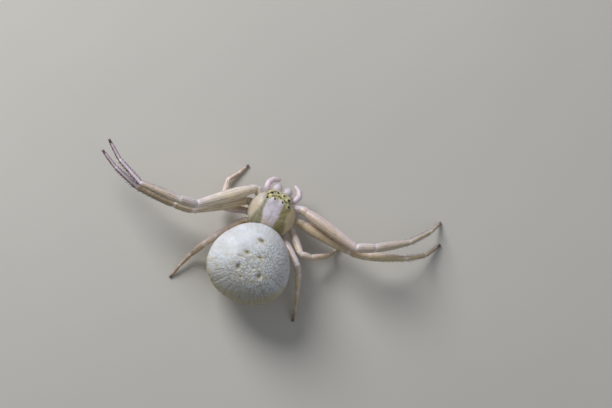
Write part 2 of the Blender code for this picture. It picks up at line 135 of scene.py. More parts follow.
# Radius at shares of each segment's length. Each ends in a collar and starts in a narrow membrane.
FRONT_RADII = {
    "coxa": ((0.0, 0.30), (0.55, 0.34), (0.80, 0.33), (0.92, 0.29), (1.0, 0.25)),
    "femur": ((0.0, 0.25), (0.03, 0.30), (0.07, 0.33), (0.10, 0.30), (0.14, 0.34), (0.36, 0.430),
              (0.70, 0.385), (0.90, 0.320), (0.96, 0.315), (1.0, 0.255)),
    "patella": ((0.0, 0.255), (0.07, 0.315), (0.30, 0.345), (0.75, 0.330), (0.93, 0.300), (1.0, 0.245)),
    "tibia": ((0.0, 0.245), (0.035, 0.290), (0.20, 0.320), (0.50, 0.295), (0.85, 0.225), (0.96, 0.210),
              (1.0, 0.170)),
    "metatarsus": ((0.0, 0.170), (0.05, 0.200), (0.20, 0.185), (0.70, 0.168), (0.95, 0.155), (1.0, 0.118)),
    "tarsus": ((0.0, 0.118), (0.07, 0.142), (0.45, 0.132), (0.85, 0.108), (1.0, 0.086)),
}
REAR_RADII = {
    "coxa": ((0.0, 0.24), (0.60, 0.26), (0.90, 0.25), (1.0, 0.22)),
    "femur": ((0.0, 0.22), (0.05, 0.25), (0.12, 0.245), (0.38, 0.285), (0.75, 0.255), (0.93, 0.230),
              (1.0, 0.195)),
    "patella": ((0.0, 0.195), (0.10, 0.235), (0.45, 0.255), (0.90, 0.220), (1.0, 0.185)),
    "tibia": ((0.0, 0.185), (0.06, 0.215), (0.30, 0.230), (0.80, 0.180), (0.95, 0.170), (1.0, 0.130)),
    "metatarsus": ((0.0, 0.130), (0.08, 0.155), (0.50, 0.138), (0.93, 0.125), (1.0, 0.100)),
    "tarsus": ((0.0, 0.100), (0.10, 0.118), (0.50, 0.108), (0.88, 0.090), (1.0, 0.076)),
}
LEG_STOUTNESS = {1: 1.0, 2: 0.95, 3: 1.0, 4: 0.97}
FOOT_HEIGHT = 0.09
# Rounded bends: their radius in radii of the limb, how much of a segment they may take, and degrees to a step
BEND_WIDTH = 1.15
LONGEST_TRIM = 0.45
BEND_STEP = 7
STANDING = "stands"
RAISED = "raised"
# Each leg's hip, where its femur starts, then the bearing and pitch of its segments in degrees: 0 points to
# the spider's left, 90 straight ahead. Where a leg stands, the pitch of its tarsus is found from the floor.
POSES = {
    ("left", 1): (RAISED, (1.72, -1.20, 2.08), ((-43, 18), (-13, 22), (-1, -9), (25, -11), (37, 0))),
    ("left", 2): (RAISED, (1.92, -0.21, 1.68), ((-37, 13), (-9, 2), (-1, -3), (18, -4), (28, -3))),
    ("left", 3): (STANDING, (1.74, 0.46, 1.28), ((-16, -3), (104, 0), (81, -30), (122, -12), (116, 0))),
    ("left", 4): (STANDING, (1.50, 1.14, 1.42), ((-55, 10), (-60, 4), (-62, -50), (-70, -14), (-76, 0))),
    ("right", 1): (STANDING, (-1.79, -1.22, 2.05), ((-167, 17), (154, -9), (143, -23), (127, -28), (115, 0))),
    ("right", 2): (STANDING, (-2.00, -0.36, 1.66), ((-175, 6), (172, 7), (156, -11), (142, -35), (120, 0))),
    ("right", 3): (STANDING, (-1.75, 0.28, 1.42), ((-133, 20), (172, -20), (144, -33), (120, -48), (118, 0))),
    ("right", 4): (STANDING, (-1.41, 1.03, 1.45),
                   ((-138, 29), (-138, -50), (-116, -36), (-112, -27), (-107, 0))),
}

# Palps and chelicerae: joints, and radii at the joints
PALPS = {
    "left": ((0.52, -1.12, 1.40), (1.07, -1.64, 1.76), (1.10, -2.03, 1.70), (0.86, -2.38, 1.56),
             (0.44, -2.55, 1.40)),
    "right": ((-0.54, -1.12, 1.40), (-1.16, -1.64, 1.76), (-1.31, -2.00, 1.70), (-1.14, -2.36, 1.54),
              (-0.76, -2.62, 1.36)),
}
PALP_RADII = (0.20, 0.215, 0.205, 0.190, 0.120)
CHELICERA_MIDDLE = -0.07
CHELICERA_PATH = (
    (0.34, -1.00, 2.10),
    (0.39, -1.80, 1.87),
    (0.40, -2.05, 1.40),
    (0.34, -2.03, 1.00),
    (0.28, -2.00, 0.86),
)
CHELICERA_RADII = (0.30, 0.33, 0.31, 0.22, 0.14)
# How much fuller than its ends each of their segments is half way
FULLER = 0.015

# Eyes of the left side: distance from the midline, distance ahead of the carapace's middle, radius, and the
# height and radius of the hump that each looks out of
EYES = {
    "eye_front_middle": (0.235, 1.380, 0.080, 0.055, 0.18),
    "eye_front_outer": (0.655, 1.205, 0.105, 0.100, 0.20),
    "eye_rear_middle": (0.300, 0.870, 0.080, 0.055, 0.18),
    "eye_rear_outer": (0.825, 0.770, 0.092, 0.100, 0.20),
}
# Name, x, y, radius and hump of all eight
EYE_PLACES = [
    (f"{name}_{side}", sign * out, -ahead, *sizes)
    for side, sign in SIDES_OF_BODY
    for name, (out, ahead, *sizes) in EYES.items()
]

# Camera: nearly overhead, tilted back by TILT_REAR and to the spider's left by TILT_LEFT, with the head
# turned by HEAD_TURN clockwise in the picture. LOOK_POINT of the design is seen at pixel LOOK_PIXEL.
PICTURE_WIDTH, PICTURE_HEIGHT = 612, 408
MM_PER_PIXEL = 0.0702
TILT_REAR = math.radians(10)
TILT_LEFT = math.radians(4)
HEAD_TURN = math.radians(25)
LOOK_POINT = Vector((0, 0, 2.3))
LOOK_PIXEL = (271.9, 213.4)
LENS, SENSOR = 150, 36

# How the abdomen leaves room for the waist
PEDICEL_ROOM = 0.34
PEDICEL_ROOM_RADIUS = 0.70
# How far limb tips bulge, in radii, and where their rings are, in degrees
TIP_BULGE = 0.6
TIP_RINGS = (22, 42, 60, 76)
# How far down from the abdomen's centre the spinnerets' seat is
SPINNERET_SEAT = 2.45
# Broad shallow hollow of the back: place, half width across and along, and depth
HOLLOW = (0.15, 0.15, 1.05, 1.25, 0.11)

# The kinds of surface, and the columns of facts kept for each point of the skin: its colour, how much it is
# abdomen, carapace and leg, where it lies round its limb and how near a joint, its marks, the way its hairs
# lie, its place in the flat layout, its kind of surface, and its segment and share of the segment
ZONE_ABDOMEN, ZONE_CARAPACE, ZONE_LEG, ZONE_PALP, ZONE_CHELICERA, ZONE_SPINNERET = range(6)
FACTS = {
    "tint": slice(0, 3),
    "parts": slice(3, 6),
    "limb": slice(6, 9),
    "marks": slice(9, 12),
    "lie": slice(12, 15),
    "flat": slice(15, 17),
    "zone": 17,
    "along": 18,
}
# A point of the skin that is farther than this from every point of the pieces is on a seam between them
SAME_PLACE = 1e-4
# How many rings of points round a seam are softened, and how often
SEAM_RINGS = 5
SEAM_PASSES = 12
# Band of each limb in the flat layout of the skin, whose upper half holds the limbs
STRIP_HEIGHT = 0.030
HAIR_PATCH = 0.003
# Least height of a hair, a claw's middle line and a claw over the floor
HAIR_CLEARANCE = 0.015
CLAW_HEIGHT = 0.030
CLAW_CLEARANCE = 0.001
# Claws and fangs: length, how far they curl as a share of it, and radius at the root
CLAW = (0.17, 0.55, 0.030)
FANG = (0.18, 1.1, 0.062)
TUFT_HAIRS = 36
TUFT_LENGTH = 0.11
TUFT_RADIUS = 0.015
# How far the painted highlight on top of a joint, and the painted shade under it, reach along a limb
JOINT_REACH = 0.12
# Thin dark lines along a limb: angle from its top and strength
LINES = (
    (0, 0.7), (30, 0.8), (-30, 1.0), (60, 1.0), (-60, 1.0), (98, 1.0), (-98, 1.0), (150, 0.8), (-150, 0.8),
)
# Thin dark lines round the eye field, from above
EYE_LINES = (
    ((0.68, -1.24), (0.87, -1.03)),
    ((0.87, -1.03), (0.85, -0.68)),
    ((-0.68, -1.24), (-0.85, -1.00)),
    ((-0.85, -1.00), (-0.88, -0.70)),
    ((0.26, -1.46), (0.58, -1.34)),
    ((-0.10, -1.10), (0.12, -1.16)),
    ((0.36, -1.06), (0.56, -1.00)),
    ((-0.36, -1.06), (-0.56, -0.98)),
)
# How far a lens's middle is outside its hump's surface, in radii
EYE_SINK = -0.48
# Height of the yellow eye field's lower edge on the face
FIELD_FOOT = 2.42
# Fine hairs grow above this height, and on the legs from this segment and share on
COAT_HEIGHT = 0.12
COAT_START = 0.8
# Fine hairs: name, kind of surface, count, length, lift off the surface and radius
COATS = (
    ("leg_hairs", ZONE_LEG, 4200, 0.17, 0.45, 0.0060),
    ("abdomen_hairs", ZONE_ABDOMEN, 1300, 0.11, 0.9, 0.0050),
    ("carapace_hairs", ZONE_CARAPACE, 300, 0.15, 0.9, 0.0060),
    ("palp_hairs", ZONE_PALP, 420, 0.16, 0.6, 0.0055),
    ("jaw_hairs", ZONE_CHELICERA, 160, 0.12, 0.7, 0.0055),
)
# Rows of paired bristles under a front leg: count, segment and share of the first, spacing, degrees from the
# top and their spread, length and how much shorter each is than the one before, radius and lift
SPINE_ROWS = (
    (8, 4.08, 0.115, 112, 8, 0.32, 0.014, 0.024, 0.60),
    (6, 5.10, 0.14, 118, 8, 0.17, 0.010, 0.016, 0.50),
    (5, 3.38, 0.125, 122, 6, 0.27, 0.0, 0.020, 0.65),
)
# Segment and share of the bristles on the side of a front femur, and on the back of front and rear legs
FEMUR_SPINES = (1.30, 1.42, 1.53)
BACK_SPINES = {True: (1.62, 2.20, 2.85, 3.20), False: (1.55, 2.80, 3.30, 3.70)}

# Screen colours along the limbs, from the coxa at 0 to the tip at 6. Beside each leg's own colour they hold
# painted light: each leg's tints are set lighter, darker or warmer as that leg lies in light, in shade or in
# yellow reflected light
LEG_TINTS = {
    ("left", 1): ((0, (204, 184, 158)), (1, (228, 216, 206)), (1.5, (244, 232, 206)), (2, (228, 218, 220)),
                  (2.6, (214, 203, 202)), (3.1, (202, 188, 178)), (3.8, (186, 170, 156)),
                  (4.1, (212, 202, 226)), (5, (208, 196, 222)), (6, (200, 182, 206))),
    ("left", 2): ((0, (206, 186, 154)), (1, (214, 196, 162)), (2, (216, 202, 188)), (3, (194, 178, 152)),
                  (4, (182, 162, 132)), (4.1, (208, 196, 216)), (5, (204, 188, 210)), (6, (198, 178, 200))),
    ("left", 3): ((0, (204, 176, 138)), (1, (206, 182, 156)), (2, (222, 202, 186)), (3, (238, 220, 208)),
                  (4, (236, 214, 200)), (5, (226, 202, 182)), (5.8, (200, 168, 146)), (6, (130, 90, 84))),
    ("left", 4): ((0, (206, 182, 146)), (1, (212, 188, 156)), (2, (206, 184, 168)), (3, (202, 176, 150)),
                  (4, (190, 162, 122)), (5, (174, 148, 104)), (5.8, (156, 126, 88)), (6, (112, 80, 66))),
    ("right", 1): ((0, (206, 182, 170)), (0.8, (218, 204, 224)), (1, (216, 197, 194)), (1.6, (210, 190, 178)),
                   (2, (222, 206, 208)), (3, (224, 210, 198)), (4, (216, 202, 178)), (5, (194, 184, 158)),
                   (5.8, (164, 150, 126)), (6, (92, 72, 70))),
    ("right", 2): ((0, (206, 186, 150)), (1, (208, 186, 154)), (2, (224, 204, 176)), (3, (232, 214, 182)),
                   (4, (226, 208, 170)), (5, (202, 186, 148)), (5.8, (162, 142, 104)), (6, (88, 70, 62))),
    ("right", 3): ((0, (214, 188, 140)), (1, (242, 228, 226)), (2, (242, 224, 214)), (3, (236, 216, 200)),
                   (3.8, (216, 194, 160)), (4, (190, 164, 118)), (5.8, (156, 128, 92)), (6, (104, 78, 62))),
    ("right", 4): ((0, (216, 190, 146)), (1, (222, 204, 196)), (2, (232, 218, 226)), (3, (242, 224, 210)),
                   (4, (230, 206, 170)), (5, (198, 172, 128)), (5.8, (144, 116, 82)), (6, (98, 72, 58))),
}
PALP_TINTS = ((0, (222, 208, 214)), (1.5, (238, 222, 238)), (3, (232, 216, 230)), (4, (216, 200, 214)))
CHELICERA_TINTS = ((0, (200, 192, 172)), (1, (210, 202, 214)), (2, (208, 200, 212)), (4, (196, 184, 194)))
SPINNERET_TINTS = ((0, (214, 196, 150)), (1, (188, 156, 108)))

# How dark the sides of the last two segments are
DARK_EDGES = {("left", 1): 1.0, ("left", 2): 0.9, ("right", 1): 0.30, ("right", 2): 0.30}
# How strong the thin lines along the legs of each side are
LINED = {"left": 1.0, "right": 0.55}

# Stage: light from all round, half the floor's width in metres, and the floor's two screen colours
WORLD_COLOUR = (0.92, 0.95, 1.0, 1)
WORLD_STRENGTH = 0.19
FLOOR_REACH = 2.0
FLOOR_TONES = ((209.35, 207.15, 201.9), (205.58, 203.42, 198.26))
# Lights: distances to the right, up and towards the viewer in the picture, width, power and colour
LIGHTS = {
    "key": (-58, 108, 80, 80, 0.180, (1.0, 0.99, 0.97)),
    "fill": (90, -25, 81, 108, 0.012, (0.94, 0.97, 1.0)),
}


def smooth_between(low, high, value):
    """0 below low, 1 above high, and a smooth step in between."""
    share = min(1.0, max(0.0, (value - low) / (high - low)))
    return share * share * (3 - 2 * share)


def power_of(value, exponent):
    """A signed power, for rounded-box curves."""
    return math.copysign(abs(value) ** exponent, value)


def bell(off):
    """1 at 0, falling smoothly to both sides."""
    return math.exp(-off * off)


def srgb(red, green, blue):
    """Linear colour of a screen colour from 0 to 255."""
    return tuple(((c / 255 + 0.055) / 1.055) ** 2.4 for c in (red, green, blue))


def carapace_outline(angle):
    """Radius of the carapace's margin at an angle from straight ahead: a round thorax with a squarer head."""
    side, ahead = abs(math.sin(angle)), math.cos(angle)
    reach = (THORAX_AHEAD if ahead > 0 else THORAX_BEHIND) * CARAPACE_LENGTH
    thorax = 1 / math.hypot(side / (CARAPACE_WIDTH / 2), ahead / reach)
    if ahead <= 0:
        return thorax
    corner = 4.5
    head = ((side / (HEAD_WIDTH / 2)) ** corner + (ahead / (CARAPACE_LENGTH / 2)) ** corner) ** (-1 / corner)
    blend = 14
    return (thorax**blend + head**blend) ** (1 / blend)


def groove_depth(x, y):
    """Depth of the carapace's grooves at a place seen from above."""
    depth = 0.0
    for (ax, ay), (bx, by), deep, half_width in CARAPACE_GROOVES:
        px, py = abs(x) - ax, y - ay
        dx, dy = bx - ax, by - ay
        share = min(1.0, max(0.0, (px * dx + py * dy) / (dx * dx + dy * dy)))
        off = math.hypot(px - share * dx, py - share * dy) / half_width
        fade = smooth_between(0.0, 0.25, share) * (1 - 0.5 * smooth_between(0.7, 1.0, share))
        depth += deep * fade * bell(off)
    fx, fy, radius, deep = FOVEA
    depth += deep * math.exp(-(((x - fx) * 2.2) ** 2 + (y - fy) ** 2) / radius**2)
    return depth


def carapace_point(turn, drop):
    """A point of the cephalothorax. turn runs once round from straight ahead, with the columns crowded
    towards the face, and drop runs from top to bottom."""
    angle = TURN * turn - FACE_CROWDING * math.sin(TURN * turn)
    over, under = math.sin(math.pi * drop), math.cos(math.pi * drop)
    front = smooth_between(-0.2, 0.9, math.cos(angle))
    roundness = THORAX_ROUND + (HEAD_ROUND - THORAX_ROUND) * front if under > 0 else STERNUM_ROUND
    reach = carapace_outline(angle) * over**roundness
    for swell, place, width in MARGIN_RIDGES:
        reach += swell * bell((under - place) / width)
    height = (CARAPACE_RISE if under > 0 else STERNUM_DROP) * power_of(under, roundness)
    x, y = reach * math.sin(angle), -reach * math.cos(angle)
    tilted_y = y * math.cos(CARAPACE_PITCH) + height * math.sin(CARAPACE_PITCH)
    tilted_z = height * math.cos(CARAPACE_PITCH) - y * math.sin(CARAPACE_PITCH)
    point = Vector((x, tilted_y, MARGIN_HEIGHT + tilted_z))
    if under > 0:
        point.z -= groove_depth(x, tilted_y) * smooth_between(0.05, 0.35, under)
        for _, eye_x, eye_y, _, hump, hump_radius in EYE_PLACES:
            near = ((x - eye_x) ** 2 + (tilted_y - eye_y) ** 2) / hump_radius**2
            point += Vector((0.5 * x, tilted_y, 1.4)).normalized() * (hump * math.exp(-near))
    else:
        half_width, half_length, middle, width, swell = STERNUM_EDGE
        off = (math.hypot(x / half_width, (tilted_y - middle) / half_length) - 1) / width
        point.z += swell * bell(off)
    return point


def carapace_keeps(x, z):
    """How far back the abdomen leaves room for the cephalothorax and the waist at this width and height."""
    clearance = 0.10
    rise = (CARAPACE_RISE if z > MARGIN_HEIGHT else STERNUM_DROP) + clearance
    wide = x / (CARAPACE_WIDTH / 2 + clearance)
    tall = (z - MARGIN_HEIGHT) / rise
    inside = max(0.0, 1 - wide * wide - tall * tall)
    off_waist = (x * x + (z - PEDICEL_HEIGHT) ** 2) / PEDICEL_ROOM_RADIUS**2
    dimple = PEDICEL_ROOM * math.exp(-off_waist)
    return (0.50 * CARAPACE_LENGTH + 2 * clearance) * math.sqrt(inside) + dimple


def pit_depths(x, y):
    """How deep the back's pits are here, and how dark, from 0 to 1."""
    depth, dark = 0.0, 0.0
    for pit_x, pit_y, across, along, deep in PITS:
        near = ((x - pit_x) / across) ** 2 + ((y - pit_y) / along) ** 2
        if near < 9:
            depth += deep * math.exp(-near)
            dark = max(dark, min(1.0, deep / DARK_PIT_DEPTH) * math.exp(-1.1 * near))
    return depth, dark


def crease_at(x, y, z):
    """Height of the skin's radial creases, from -1 in a crease to 0 between them."""
    angle = math.atan2(y, x)
    way = Vector((math.cos(angle) * CREASES, math.sin(angle) * CREASES, 0.55 * z + 0.5 * math.hypot(x, y)))
    return -bell(noise.noise(way) / 0.10)


def abdomen_point(turn, drop):
    """A point of the abdomen, with its pits and creases, and their darkness and depth for the colours."""
    angle, fall = TURN * turn, math.pi * drop
    reach, under = math.sin(fall) ** ABDOMEN_ROUND, math.cos(fall)
    egg = ABDOMEN_EGG * math.cos(3 * angle) * reach
    x = (reach * ABDOMEN_WIDTH / 2 + egg) * math.sin(angle)
    y = (reach * ABDOMEN_LENGTH / 2 + egg) * -math.cos(angle)
    z = (ABDOMEN_RISE if under > 0 else ABDOMEN_DROP) * power_of(under, ABDOMEN_ROUND)
    far, dark = math.hypot(x, y), 0.0
    if under > 0:
        depth, dark = pit_depths(x, y)
        hollow_x, hollow_y, across, along, hollow_depth = HOLLOW
        away = ((x - hollow_x) / across) ** 2 + ((y - hollow_y) / along) ** 2
        z -= depth + hollow_depth * math.exp(-away)
    # Creases show on the rim, most at the rear and least on the left flank
    rear = smooth_between(-1.2, 1.6, y)
    flank = smooth_between(0.5, 2.0, x) * (1 - smooth_between(0.2, 1.8, y))
    strength = smooth_between(1.1, 2.5, far) * (0.25 + 0.75 * rear) * (1 - 0.75 * flank)
    crease = crease_at(x, y - 0.3, z) * strength
    lumps = noise.noise(Vector((x, y, z)) * 0.9) * 0.030
    lumps += noise.noise(Vector((x + 9, y, z)) * 3.2) * 0.012 * (0.4 + 0.6 * rear)
    outward = Vector((x, y, z * 1.5)).normalized()
    point = ABDOMEN_CENTRE + Vector((x, y, z - ABDOMEN_SLOPE * y)) + outward * (lumps + 0.035 * crease)
    kept = carapace_keeps(point.x, point.z)
    point.y = 0.5 * (point.y + kept + math.hypot(point.y - kept, FRONT_SOFTNESS))
    return point, dark, -crease


def ring_faces(rings, sides):
    """Faces of a closed skin of point rings, with one point before the first ring and one after the last."""
    last = 1 + rings * sides
    faces = []
    for i in range(sides):
        j = (i + 1) % sides
        faces.append((0, 1 + j, 1 + i))
        for low in range(1, last - sides, sides):
            high = low + sides
            faces.append((low + i, low + j, high + j, high + i))
        faces.append((last - sides + i, last - sides + j, last))
    return faces


def steady_curve(table, share):
    """Smooth reading of rows (share, value), with no overshoot between rows."""
    grades = [(q[1] - p[1]) / (q[0] - p[0]) for p, q in zip(table, table[1:])]

    def slope(i):
        left, right = grades[max(i - 1, 0)], grades[min(i, len(grades) - 1)]
        return 0.0 if left * right <= 0 else 2 * left * right / (left + right)

    for k, ((a, low), (b, high)) in enumerate(zip(table, table[1:])):
        if share <= b:
            width = b - a
            t = max(0.0, (share - a) / width)
            rise = slope(k) * width * (t**3 - 2 * t**2 + t) + slope(k + 1) * width * (t**3 - t**2)
            return low * (2 * t**3 - 3 * t**2 + 1) + high * (3 * t**2 - 2 * t**3) + rise
    return table[-1][1]


def direction_of(bearing, pitch):
    """Unit vector for a bearing, 0 to the left and 90 ahead, and a pitch above the floor, in degrees."""
    turn, rise = math.radians(bearing), math.radians(pitch)
    return Vector((math.cos(rise) * math.cos(turn), -math.cos(rise) * math.sin(turn), math.sin(rise)))


def limb_path(corners, tables, step=0.085):
    """Stations along a jointed limb with rounded bends."""
    spans = [b - a for a, b in zip(corners, corners[1:])]
    lengths, ways = [span.length for span in spans], [span.normalized() for span in spans]
    trims = [0.0]
    for k in range(1, len(spans)):
        bend = ways[k - 1].angle(ways[k])
        radius = BEND_WIDTH * tables[k][1][1]
        trims.append(min(radius * math.tan(bend / 2), LONGEST_TRIM * min(lengths[k - 1], lengths[k])))
    trims.append(0.0)
    path = []
    for k, (length, way) in enumerate(zip(lengths, ways)):
        low, high = trims[k] / length, 1 - trims[k + 1] / length
        count = max(3, round((high - low) * length / step))
        for i in range(count + 1):
            share = low + (high - low) * i / count
            path.append((corners[k] + way * (length * share), way, k + share))
        if k + 1 < len(spans):
            joint, trim, after = corners[k + 1], trims[k + 1], ways[k + 1]
            start, end = joint - way * trim, joint + after * trim
            next_low = trim / lengths[k + 1]
            steps = max(3, round(math.degrees(way.angle(after)) / BEND_STEP))
            for i in range(1, steps):
                t = i / steps
                place = start * (1 - t) ** 2 + joint * (2 * t * (1 - t)) + end * t**2
                share = k + high + (1 - high) * 2 * t if t < 0.5 else k + 1 + next_low * (2 * t - 1)
                path.append((place, (way * (1 - t) + after * t).normalized(), share))

    def radius_at(share):
        k = min(int(share), len(tables) - 1)
        return steady_curve(tables[k], share - k)

    return [Station(place, way, radius_at(share), share) for place, way, share in path]


def row_of(tint=(0, 0, 0), parts=(0, 0, 0), limb=(0, 0, 0), marks=(0, 0, 0), lie=(0, 1, 0), flat=(0, 0),
           zone=0, along=0.0):
    """The facts of one point, in the order of FACTS."""
    return [*tint, *parts, *limb, *marks, *lie, *flat, zone, along]


def colour_along(table, share):
    """Linear colour at a share of rows (share, screen colour)."""
    for (a, low), (b, high) in zip(table, table[1:]):
        if share <= b:
            t = max(0.0, (share - a) / (b - a))
            return tuple(p + (q - p) * t for p, q in zip(srgb(*low), srgb(*high)))
    return srgb(*table[-1][1])


def tube_frame(way, reference=UP):
    """The upper and side directions across a limb."""
    upper = (reference - way * way.dot(reference)).normalized()
    return upper, way.cross(upper)


def spoke(first, second, turn):
    """The direction at an angle from the first of two directions towards the second."""
    return first * math.cos(turn) + second * math.sin(turn)


def tube_piece(name, stations, sides, tints, zone, strip, reference=UP, edges=0.0, lined=1.0):
    """A closed limb with a rounded tip, with its facts. strip is its band in the flat layout of the skin,
    edges is how dark the sides of its last two segments are, and lined is how strong its thin lines are."""
    tip = stations[-1]
    rings = list(stations)
    for lift in TIP_RINGS:
        rise = math.radians(lift)
        place = tip.place + tip.way * (TIP_BULGE * tip.radius * math.sin(rise))
        rings.append(tip._replace(place=place, radius=tip.radius * math.cos(rise)))
    far = [0.0]
    for before, after in zip(rings, rings[1:]):
        far.append(far[-1] + (after.place - before.place).length)
    leg = zone == ZONE_LEG
    joints = [along for along, ring, after in zip(far, rings, rings[1:])
              if leg and int(ring.share) < int(after.share) < tip.share]
    facing = 1 if tube_frame(tip.way, reference)[1].dot(FORWARD) > 0 else -1

    def facts(ring, turn, along):
        joint = max((bell((along - a) / JOINT_REACH) for a in joints), default=0.0)
        distal = 0.30 * smooth_between(2.9, 3.4, ring.share) + 0.70 * smooth_between(3.9, 4.1, ring.share)
        foot = max(edges, 0.5) * smooth_between(5.80, 5.90, ring.share) * leg
        return row_of(
            colour_along(tints, ring.share), (0, 0, 1 if leg else 0.25),
            (math.cos(turn), facing * math.sin(turn), joint), (foot, edges * distal, lined), ring.way,
            (along / far[-1], strip + STRIP_HEIGHT * (turn / TURN)), zone, ring.share,
        )

    points, rows = [stations[0].place], [facts(rings[0], 0, 0)]
    for ring, along in zip(rings, far):
        upper, side = tube_frame(ring.way, reference)
        for i in range(sides):
            turn = TURN * i / sides
            outward = spoke(upper, side, turn)
            uneven = noise.noise((ring.place + outward * ring.radius) * 1.7)
            flute = 1 + 0.012 * math.cos(4 * turn) + 0.020 * uneven
            points.append(ring.place + outward * (ring.radius * flute))
            rows.append(facts(ring, turn, along))
    points.append(tip.place + tip.way * (TIP_BULGE * tip.radius))
    rows.append(facts(rings[-1], 0, far[-1]))
    for point in points:
        point.z = max(point.z, 0.0)
    return Piece(name, points, ring_faces(len(rings), sides), np.array(rows))


def leg_corners(side, pair):
    """The joints of a leg, from inside the body to its tip."""
    stance, hip, angles = POSES[side, pair]
    origin = COXA_ORIGINS[pair].copy()
    origin.x *= 1 if side == "left" else -1
    corners = [origin, Vector(hip)]
    for k, (length, (bearing, pitch)) in enumerate(zip(LENGTHS[pair], angles)):
        if stance == STANDING and k == len(angles) - 1:
            pitch = math.degrees(math.asin((FOOT_HEIGHT - corners[-1].z) / length))
        corners.append(corners[-1] + direction_of(bearing, pitch) * length)
    return corners


def leg_piece(side, pair, strip):
    """One leg of the skin, and its stations for what grows on it."""
    radii, sides = (FRONT_RADII, 30) if pair <= 2 else (REAR_RADII, 24)
    tables = [[(share, radius * LEG_STOUTNESS[pair]) for share, radius in radii[part]] for part in SEGMENTS]
    stations = limb_path(leg_corners(side, pair), tables)
    edges = DARK_EDGES.get((side, pair), 0.0)
    tints = LEG_TINTS[side, pair]
    piece = tube_piece(f"leg_{pair}_{side}", stations, sides, tints, ZONE_LEG, strip, UP, edges, LINED[side])
    return piece, stations


def soft_limb(name, corners, radii, sides, tints, zone, strip, reference=UP):
    """A palp or a chelicera, with each segment slightly fuller half way, and its stations."""
    tables = [((0.0, a), (0.5, 0.5 * (a + b) + FULLER), (1.0, b)) for a, b in zip(radii, radii[1:])]
    stations = limb_path([Vector(corner) for corner in corners], tables, 0.06)
    return tube_piece(name, stations, sides, tints, zone, strip, reference), stations


def polar_piece(name, facts_at, columns, rings):
    """A closed body from facts_at(turn, drop), which gives a point and its row of facts."""
    places = [(0.0, 0.0)]
    for k in range(1, rings):
        places += [(1 - i / columns, k / rings) for i in range(columns)]
    points, rows = zip(*[facts_at(turn, drop) for turn, drop in [*places, (0.0, 1.0)]])
    return Piece(name, points, ring_faces(rings - 1, columns), np.array(rows))


def abdomen_facts(turn, drop):
    """A point of the abdomen and its facts. The last mark is how far into the cream underside it lies, a
    cream that is partly the abdomen's own tone and partly painted yellow reflected light.
    """
    point, dark, crease = abdomen_point(turn, drop)
    height = point.z - ABDOMEN_CENTRE.z
    start = 0.15 + 1.35 * smooth_between(-1.5, 2.2, point.y - ABDOMEN_CENTRE.y)
    start += 0.35 * smooth_between(-0.6, -2.2, point.x) - 0.45 * smooth_between(0.3, 2.2, point.x)
    marks = (dark, crease, smooth_between(start, start - 1.15, height))
    back = Vector((0.6 * math.sin(TURN * turn), 0.8, -0.3)).normalized()
    flat = (0.5 * turn, 0.5 * drop)
    return point, row_of(parts=(1, 0, 0), marks=marks, lie=back, flat=flat, zone=ZONE_ABDOMEN)


def carapace_facts(turn, drop):
    """A point of the cephalothorax and its facts."""
    flat = (0.5 + 0.5 * turn, 0.5 * drop)
    return carapace_point(turn, drop), row_of(parts=(0, 1, 0), lie=FORWARD, flat=flat, zone=ZONE_CARAPACE)


def plain_tube(name, path, sides, strip):
    """A short tube from rows (place, direction, radius), for the waist and the spinnerets."""
    stations = [Station(*row, 0.1 + 0.3 * i / len(path)) for i, row in enumerate(path)]
    return tube_piece(name, stations, sides, SPINNERET_TINTS, ZONE_SPINNERET, strip)


def waist_and_spinnerets(strip):
    """The waist, and three pairs of small cones on a mound under the hind end of the abdomen."""
    way = Vector((0, 1, 0))
    start = Vector((ABDOMEN_CENTRE.x / 2, 0.9, PEDICEL_HEIGHT))
    waist = [(start + way * (0.1 * i), way, PEDICEL_RADIUS * (1 - 0.10 * math.sin(math.pi * i / 14)))
             for i in range(15)]
    pieces = [plain_tube("waist", waist, 28, strip)]
    out, across = SPINNERET_WAY, Vector((1, 0, 0))
    up = out.cross(across)
    seat = ABDOMEN_CENTRE + out * SPINNERET_SEAT
    mound = [(seat + out * (0.06 * i - 0.5), out, 0.40 - 0.012 * i) for i in range(11)]
    pieces.append(plain_tube("mound", mound, 32, strip))
    for side in (1, -1):
        for aside, row, length, radius in SPINNERETS:
            root = seat + across * (side * aside) + up * row
            lean = (out - across * (0.20 * side) - up * (0.7 * row)).normalized()
            cone = []
            for i in range(11):
                share = i / 10
                place = root + lean * (length * (share * 1.25 - 0.25))
                cone.append((place, lean, radius * steady_curve(SPINNERET_TAPER, share)))
            pieces.append(plain_tube("cone", cone, 16, strip))
    return pieces


def surface_of(piece):
    """A tree for finding this surface along a line."""
    triangles = [(f[0], f[k], f[k + 1]) for f in piece.faces for k in range(1, len(f) - 1)]
    return BVHTree.FromPolygons(piece.points, triangles)


def union_of(pieces):
    """One closed surface round all the pieces."""
    others = bpy.data.collections.new("skin_pieces")
    objects = []
    for piece in pieces:
        mesh = bpy.data.meshes.new(piece.name)
        mesh.from_pydata(piece.points, [], piece.faces)
        home = others if objects else bpy.context.scene.collection
        objects.append(bpy.data.objects.new(piece.name, mesh))
        home.objects.link(objects[-1])
    union = objects[0].modifiers.new("union", "BOOLEAN")
    union.operation, union.solver = "UNION", "EXACT"
    union.operand_type, union.collection = "COLLECTION", others
    bpy.context.view_layer.update()
    graph = bpy.context.evaluated_depsgraph_get()
    mesh = bpy.data.meshes.new_from_object(objects[0].evaluated_get(graph))
    for source in [obj.data for obj in objects]:
        bpy.data.meshes.remove(source)
    bpy.data.collections.remove(others)
    return mesh


def in_steady_order(mesh):
    """Places and faces of a surface sorted by place, because a union gives them in any order."""
    places = np.array([point.co[:] for point in mesh.vertices])
    order = np.lexsort(places.T)
    rank = np.argsort(order)
    faces = []
    for face in mesh.polygons:
        corners = rank[list(face.vertices)].tolist()
        first = corners.index(min(corners))
        faces.append(corners[first:] + corners[:first])
    bpy.data.meshes.remove(mesh)
    return places[order], sorted(faces)


